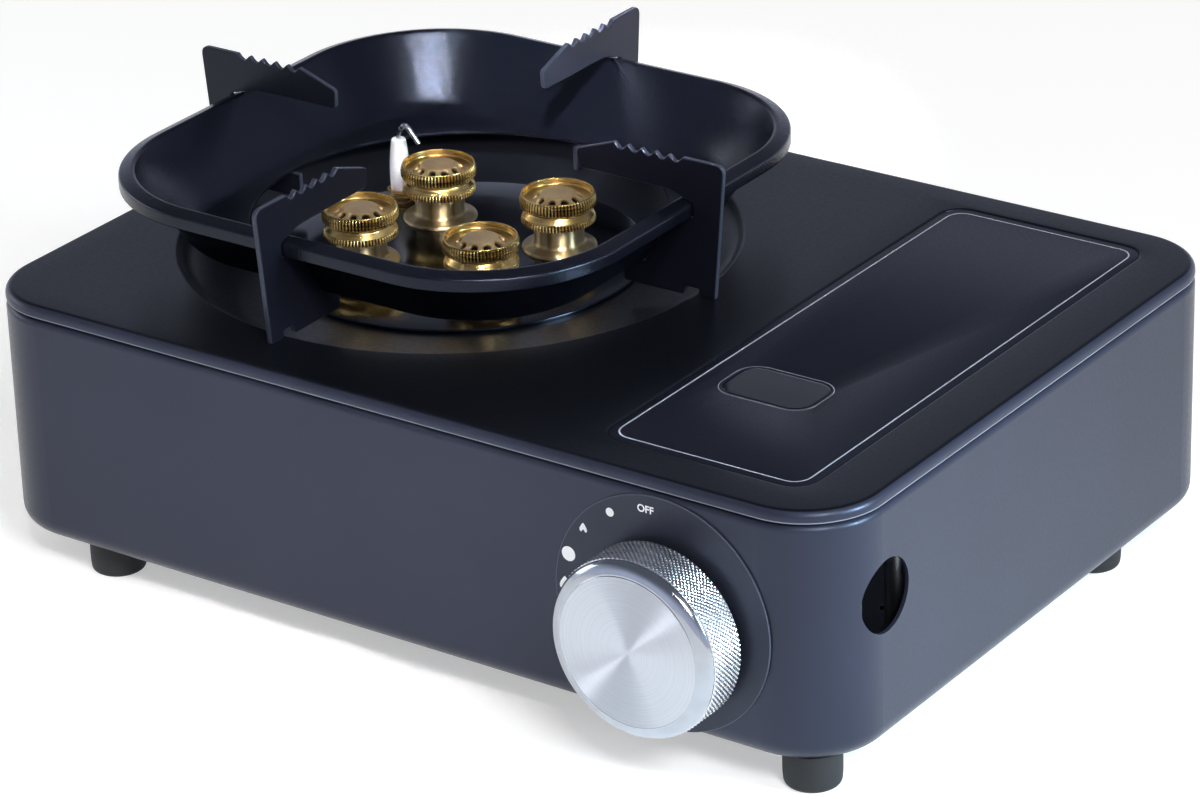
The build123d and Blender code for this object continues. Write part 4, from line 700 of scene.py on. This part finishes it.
SPLIT_X, EDGE_IN, HEM_Z, LID_BEND = 48.0, 9.0, TRAY_TOP + 0.5, 2.2
SHARP = 0.01


def lid_ring(profile):
    """A profile of inset and height carried round the body's outline, whose corners keep their centres."""
    flat = rounded(BODY_WIDTH / 2 - profile[:, 0], BODY_DEPTH / 2 - profile[:, 0],
                   (CORNER - profile[:, :1]) * np.ones((1, 4)), 16, 90)
    return moved(raised(flat, profile[:, 1]), 0.0, MID_Y)


def lid_bend(first, last, steps):
    """Part of the bend between skirt and top: inset R - R cos a and height R sin a below the top."""
    turn = np.radians(np.linspace(first, last, steps))
    return np.stack([LID_BEND - LID_BEND * np.cos(turn), TOP_Z - LID_BEND + LID_BEND * np.sin(turn)], -1)


def lid_skirt():
    """Skirt of the lid with a hem turned in below and most of its bend above. At the back its lower edge
    rises to clear the round port: z is at least the port's circle. The hem's edge is marked for a painted
    highlight, a pale line where it catches the light."""
    hem = [(1.0, HEM_Z + 2.0), (1.0, HEM_Z + 0.15), (0.75, HEM_Z), (0.35, HEM_Z), (0.06, HEM_Z + 0.18),
           (0.0, HEM_Z + 0.42), (0.0, HEM_Z + 0.6)]
    profile = np.concatenate([hem, lid_bend(0, 60, 9)])
    grid = lid_ring(profile)
    lift = PORT_Z + np.sqrt(np.clip(PORT_RADIUS ** 2 - (grid[..., 0] - PORT_X) ** 2, 0, None))
    at_back = (grid[..., 1] > BACK_Y - 1.5) & (np.abs(grid[..., 0] - PORT_X) < PORT_RADIUS)
    grid[..., 2] = np.where(at_back, np.maximum(grid[..., 2], lift), grid[..., 2])
    # Painted highlight along the hem's edge.
    pale = np.zeros(grid.shape[:2])
    pale[3:6] = np.array([0.3, 1.0, 0.6])[:, None]
    return grid, pale


def lid_border():
    """Top edge of the lid: the last part of the bend and the flat as far as the two halves inside."""
    return lid_ring(np.concatenate([lid_bend(60, 90, 5), [(EDGE_IN, TOP_Z)]]))


def lid_half(left, right, corner_left, corner_right):
    """Outline of one half of the flat lid: a rectangle whose outer corners follow the lid's and whose
    others are sharp."""
    half_x, half_y = (right - left) / 2, BODY_DEPTH / 2 - EDGE_IN
    corners = np.array([[corner_right, corner_left, corner_left, corner_right]])
    return moved(raised(rounded(half_x, half_y, corners, 16, 70), TOP_Z), (left + right) / 2, MID_Y)[0]


def lid_dish():
    """Left half of the lid: each column is a ray from the dish's axis, with the dish's profile of radius and
    height (floor, long slope, short steep edge), and then the flat out to the half's outline. The rim is
    marked for a painted highlight, a pale line round the dish's edge."""
    border = lid_half(EDGE_IN - BODY_WIDTH / 2, SPLIT_X, CORNER - EDGE_IN, SHARP)
    away = border[:, :2] - [DISH_X, MID_Y]
    angle = np.arctan2(away[:, 1], away[:, 0])[None, :]
    edge_width, edge_depth = 2.6, 2.4
    corners = [(48.0, DISH_FLOOR_Z - 0.8), (48.0, DISH_FLOOR_Z), (53.0, DISH_FLOOR_Z),
               (DISH_RADIUS - edge_width, TOP_Z - edge_depth), (DISH_RADIUS, TOP_Z), (84.0, TOP_Z)]
    profile = bent(corners, (0.3, 2.0, 2.2, 0.6), 8)
    radius = profile[:, :1]
    rows = np.stack([radius * np.cos(angle), radius * np.sin(angle), profile[:, 1:] + 0 * angle], -1)
    rows = moved(rows, DISH_X, MID_Y)
    # Painted highlight round the dish's rim.
    pale = np.append(np.exp(-((profile[:, 0] - DISH_RADIUS) / 0.4) ** 2), 0.0)[:, None] * np.ones_like(angle)
    return np.concatenate([rows, border[None]])[::-1], pale[::-1]


def lid_recess():
    """Right half of the lid: rings from the window's opening over the recess floor, up the recess edge to
    the flat, and out to the half's outline. All rings are rounded rectangles with the same count of
    points."""
    outer = lid_half(SPLIT_X, BODY_WIDTH / 2 - EDGE_IN, SHARP, CORNER - EDGE_IN)[None]
    inlay = np.array([(-0.25, TOP_Z - 0.6), (0.0, TOP_Z - 0.5), (0.12, TOP_Z - 0.2), (0.45, TOP_Z - 0.03),
                      (0.8, TOP_Z)])
    rings = rounded(INLAY_WIDTH / 2 + inlay[:, 0], INLAY_DEPTH / 2 + inlay[:, 0],
                    (INLAY_CORNER + inlay[:, :1]) * np.ones((1, 4)), 16, 70)
    rings = moved(raised(rings, inlay[:, 1]), INLAY_X, INLAY_Y)
    hole = rounded([WINDOW_WIDTH / 2] * 2, [WINDOW_DEPTH / 2] * 2, WINDOW_CORNER, 16, 70)
    hole = moved(raised(hole, [TOP_Z - 1.6, TOP_Z - 0.6]), WINDOW_X, WINDOW_Y)
    return np.concatenate([hole, rings, outer])[::-1]


skirt, pale = lid_skirt()
piece("lid_skirt", [(skirt, True)], body_coat, "stove", ["top_plate"], marks=[pale])
border, recess = lid_border(), lid_recess()
dish, pale = lid_dish()
piece("lid_top", [(border, True), (dish, True), (recess, True)], top_coat, "stove", ["top_plate"],
      marks=[np.zeros(border.shape[:2]), pale, np.zeros(recess.shape[:2])])

# Inlay, its printed border and the window's lens

INK_LIFT, LENS_DEPTH = 0.015, 1.4


def inlay_film():
    """Thin film: rings from the window's edge to the inlay's edge, both rounded rectangles, with broken
    edges."""
    outset = np.array([0.0, 0.0, 0.15])
    inner = rounded(WINDOW_WIDTH / 2 + outset, WINDOW_DEPTH / 2 + outset, WINDOW_CORNER, 10, 40)
    inner = moved(raised(inner, [INLAY_TOP - 0.4, INLAY_TOP - 0.1, INLAY_TOP]), WINDOW_X, WINDOW_Y)
    inset = np.array([0.25, 0.05, 0.05])
    outer = rounded(INLAY_WIDTH / 2 - inset, INLAY_DEPTH / 2 - inset, INLAY_CORNER, 10, 40)
    outer = moved(raised(outer, [INLAY_TOP, INLAY_TOP - 0.1, INLAY_TOP - 0.4]), INLAY_X, INLAY_Y)
    return np.concatenate([inner, outer])[::-1]


def thin_line(half_x, half_y, corner, width, x, y):
    """A thin line round a rounded rectangle, a hair above the film: two rings a line width apart."""
    rings = rounded([half_x, half_x - width], [half_y, half_y - width], [corner, corner - width], 12, 30)
    return moved(raised(rings, INLAY_TOP + INK_LIFT), x, y)


def window_lens():
    """Clear lens that fills the opening: a flat top with a rounded edge, down to the lid's underside."""
    inset = np.array([0.05, 0.05, 0.12, 0.35, 0.9])
    level = np.array([-LENS_DEPTH, -0.3, -0.1, -0.01, 0.0]) + INLAY_TOP
    corner = (WINDOW_CORNER - inset)[:, None] * np.ones((1, 4))
    rings = rounded(WINDOW_WIDTH / 2 - inset, WINDOW_DEPTH / 2 - inset, corner, 10, 20)
    rings = moved(raised(rings, level), WINDOW_X, WINDOW_Y)
    middle = np.array([[[WINDOW_X, WINDOW_Y, INLAY_TOP]]]) + 0 * rings[:1]
    under = np.array([[[WINDOW_X, WINDOW_Y, INLAY_TOP - LENS_DEPTH]]]) + 0 * rings[:1]
    return np.concatenate([under, rings, middle])


piece("inlay_film", [(inlay_film(), True)], inlay_coat, "stove", ["inlay_plate"])
inset, outset = 2.4, 0.9
inlay_line = thin_line(INLAY_WIDTH / 2 - inset, INLAY_DEPTH / 2 - inset, INLAY_CORNER - 2.0, 0.45,
                          INLAY_X, INLAY_Y)
# Painted highlight: the pale line round the window stands for the lit edge of its opening.
window_edge_highlight = thin_line(WINDOW_WIDTH / 2 + outset, WINDOW_DEPTH / 2 + outset, WINDOW_CORNER + outset, 0.16,
                           WINDOW_X, WINDOW_Y)
piece("inlay_border", [(inlay_line, True), (window_edge_highlight, True)], grey_print_and_highlight, "stove", ())
piece("window_lens", [(window_lens(), True)], lens_plastic, "stove", ["sight_window"])

# Feet

def foot():
    """Rubber foot turned about its own axis: flat tread with a screw recess, rounded edges, slight
    taper."""
    bore, recess, recess_top = 1.6, 3.7, 5.0
    corners = [(bore, recess_top), (recess, recess_top), (recess, 0.0), (7.4, 0.0), (FOOT_RADIUS, 3.0),
               (FOOT_RADIUS, FOOT_HEIGHT), (bore, FOOT_HEIGHT)]
    return turned(bent(corners, (0.3, 0.3, 1.4, 1.0, 0.4), 6), 64)


FEET = {"front_left": (-104.0, -76.3), "front_right": (122.0, -76.3), "back_right": (122.0, 64.7),
        "back_left": (-104.0, 64.7)}
for name, (x, y) in FEET.items():
    piece("rubber_foot_" + name, [(moved(foot(), x, y), True)], rubber, "stove", ["foot_" + name])

# Studio

def floor_finish():
    """Matt white paper under the stove. It takes the soft shadow, and to the camera, in reflections and
    through clear pieces its own light lifts it to white."""
    made, tree, shader = material("studio_floor_paper", Roughness=0.9, Specular_IOR_Level=0.0,
                                  Base_Color=linear("#e6e6e6"), Emission_Color=(1.0, 1.0, 1.0, 1.0))
    path = add(tree, "ShaderNodeLightPath", {}).outputs
    seen = add(tree, "ShaderNodeMath", {0: path["Is Camera Ray"], 1: path["Is Glossy Ray"]},
               operation="MAXIMUM")
    seen = add(tree, "ShaderNodeMath", {0: seen.outputs[0], 1: path["Is Transmission Ray"]},
               operation="MAXIMUM")
    glow = add(tree, "ShaderNodeMapRange", {0: seen.outputs[0], 1: 0.0, 2: 1.0, 3: 0.0, 4: 0.43})
    tree.links.new(glow.outputs[0], shader.inputs["Emission Strength"])
    return made


def flat_floor():
    """A square sheet at table height: x and y from -4 m to 4 m, z = 0."""
    reach, count = 4.0, 5
    edge = np.linspace(-reach, reach, count)
    x, y = np.meshgrid(edge, edge)
    points = np.stack([x, y, 0 * x], -1)
    mesh = bpy.data.meshes.new("floor")
    mesh.from_pydata(points.reshape(-1, 3).tolist(), [], skin(count, count, False).tolist())
    mesh.materials.append(floor_finish())
    sheet = bpy.data.objects.new("floor", mesh)
    bpy.context.scene.collection.objects.link(sheet)


def softbox(name, place, aim, width, height, power, spread=180.0, colour="#ffffff"):
    """A rectangular lamp at a place, turned to face a point. Its spread, in degrees, is narrower where it
    has a grid."""
    lamp = bpy.data.lights.new(name, "AREA")
    lamp.shape = "RECTANGLE"
    lamp.size, lamp.size_y, lamp.energy, lamp.spread = width, height, power, np.radians(spread)
    lamp.color = linear(colour)[:3]
    thing = bpy.data.objects.new(name, lamp)
    back = np.array(place, float) - np.array(aim, float)
    back /= np.linalg.norm(back)
    right = np.cross([0.0, 0.0, 1.0], back)
    right /= np.linalg.norm(right)
    turn = np.eye(4)
    turn[:3, 0], turn[:3, 1], turn[:3, 2], turn[:3, 3] = right, np.cross(back, right), back, place
    thing.matrix_world = Matrix(turn.tolist())
    bpy.context.scene.collection.objects.link(thing)


def studio():
    """White surroundings for the camera. In reflections they are faintly cool and darken from the horizon
    up to a dim ceiling, and the light that they give is dimmer. Two softboxes light the stove, and three
    with grids its right side, bowl and burners."""
    world = bpy.data.worlds.new("studio")
    bpy.context.scene.world = world
    world.use_nodes = True
    tree = world.node_tree
    path = add(tree, "ShaderNodeLightPath", {}).outputs
    facing = add(tree, "ShaderNodeTexCoord", {}).outputs["Generated"]
    height = add(tree, "ShaderNodeSeparateXYZ", {0: facing}).outputs["Z"]
    ceiling = add(tree, "ShaderNodeMapRange", {0: height, 1: 0.05, 2: 0.6, 3: 1.0, 4: 0.2},
                  interpolation_type="SMOOTHSTEP").outputs[0]
    mirrored = add(tree, "ShaderNodeMath", {0: path["Is Glossy Ray"], 1: path["Is Transmission Ray"]},
                   operation="MAXIMUM").outputs[0]
    level = add(tree, "ShaderNodeMapRange", {0: mirrored, 1: 0.0, 2: 1.0, 3: 0.4, 4: ceiling}).outputs[0]
    level = add(tree, "ShaderNodeMath", {0: level, 1: path["Is Camera Ray"]}, operation="MAXIMUM").outputs[0]
    colour = add(tree, "ShaderNodeMix", {"Factor": path["Is Glossy Ray"], "A": (1.0, 1.0, 1.0, 1.0),
                                         "B": linear("#dae3fb")}, data_type="RGBA")
    tree.links.new(colour.outputs[2], tree.nodes["Background"].inputs["Color"])
    tree.links.new(level, tree.nodes["Background"].inputs["Strength"])
    flat_floor()
    # Place and aim in metres, width, height, watts, spread in degrees and colour
    softbox("key", (1.17, -0.83, 1.18), (-0.03, 0.0, 0.07), 0.45, 0.45, 20.0)
    softbox("bowl", (0.71, -1.0, 1.3), (-0.052, 0.098, 0.12), 0.1, 0.1, 0.18, 3.5)
    softbox("burners", (0.71, -1.0, 1.3), (-0.02, -0.05, 0.1), 0.16, 0.16, 0.085, 6.0)
    softbox("fill", (-1.5, -0.35, 0.42), (0.0, 0.0, 0.05), 0.9, 0.5, 3.0)
    softbox("side", (0.7, 0.06, 0.3), (0.137, -0.05, 0.045), 0.2, 0.2, 0.55, 45.0, "#d2efff")


def photo_camera():
    """The camera solved from the photograph: its place, its turn and a 147.6 mm lens on a 36 mm wide
    frame."""
    lens = bpy.data.cameras.new("photo_camera")
    lens.sensor_fit, lens.sensor_width, lens.lens = "HORIZONTAL", 36.0, 147.627
    lens.clip_start, lens.clip_end = 0.05, 20.0
    camera = bpy.data.objects.new("photo_camera", lens)
    turn = np.eye(4)
    turn[:3, 0] = (0.820634, 0.570699, -0.029365)
    turn[:3, 1] = (-0.219827, 0.362698, 0.905608)
    turn[:3, 2] = (0.527480, -0.736718, 0.423097)
    turn[:3, 3] = (0.707974, -0.981113, 0.610040)
    camera.matrix_world = Matrix(turn.tolist())
    bpy.context.scene.collection.objects.link(camera)
    bpy.context.scene.camera = camera
    bpy.context.scene.view_settings.view_transform = "Standard"


studio()
photo_camera()
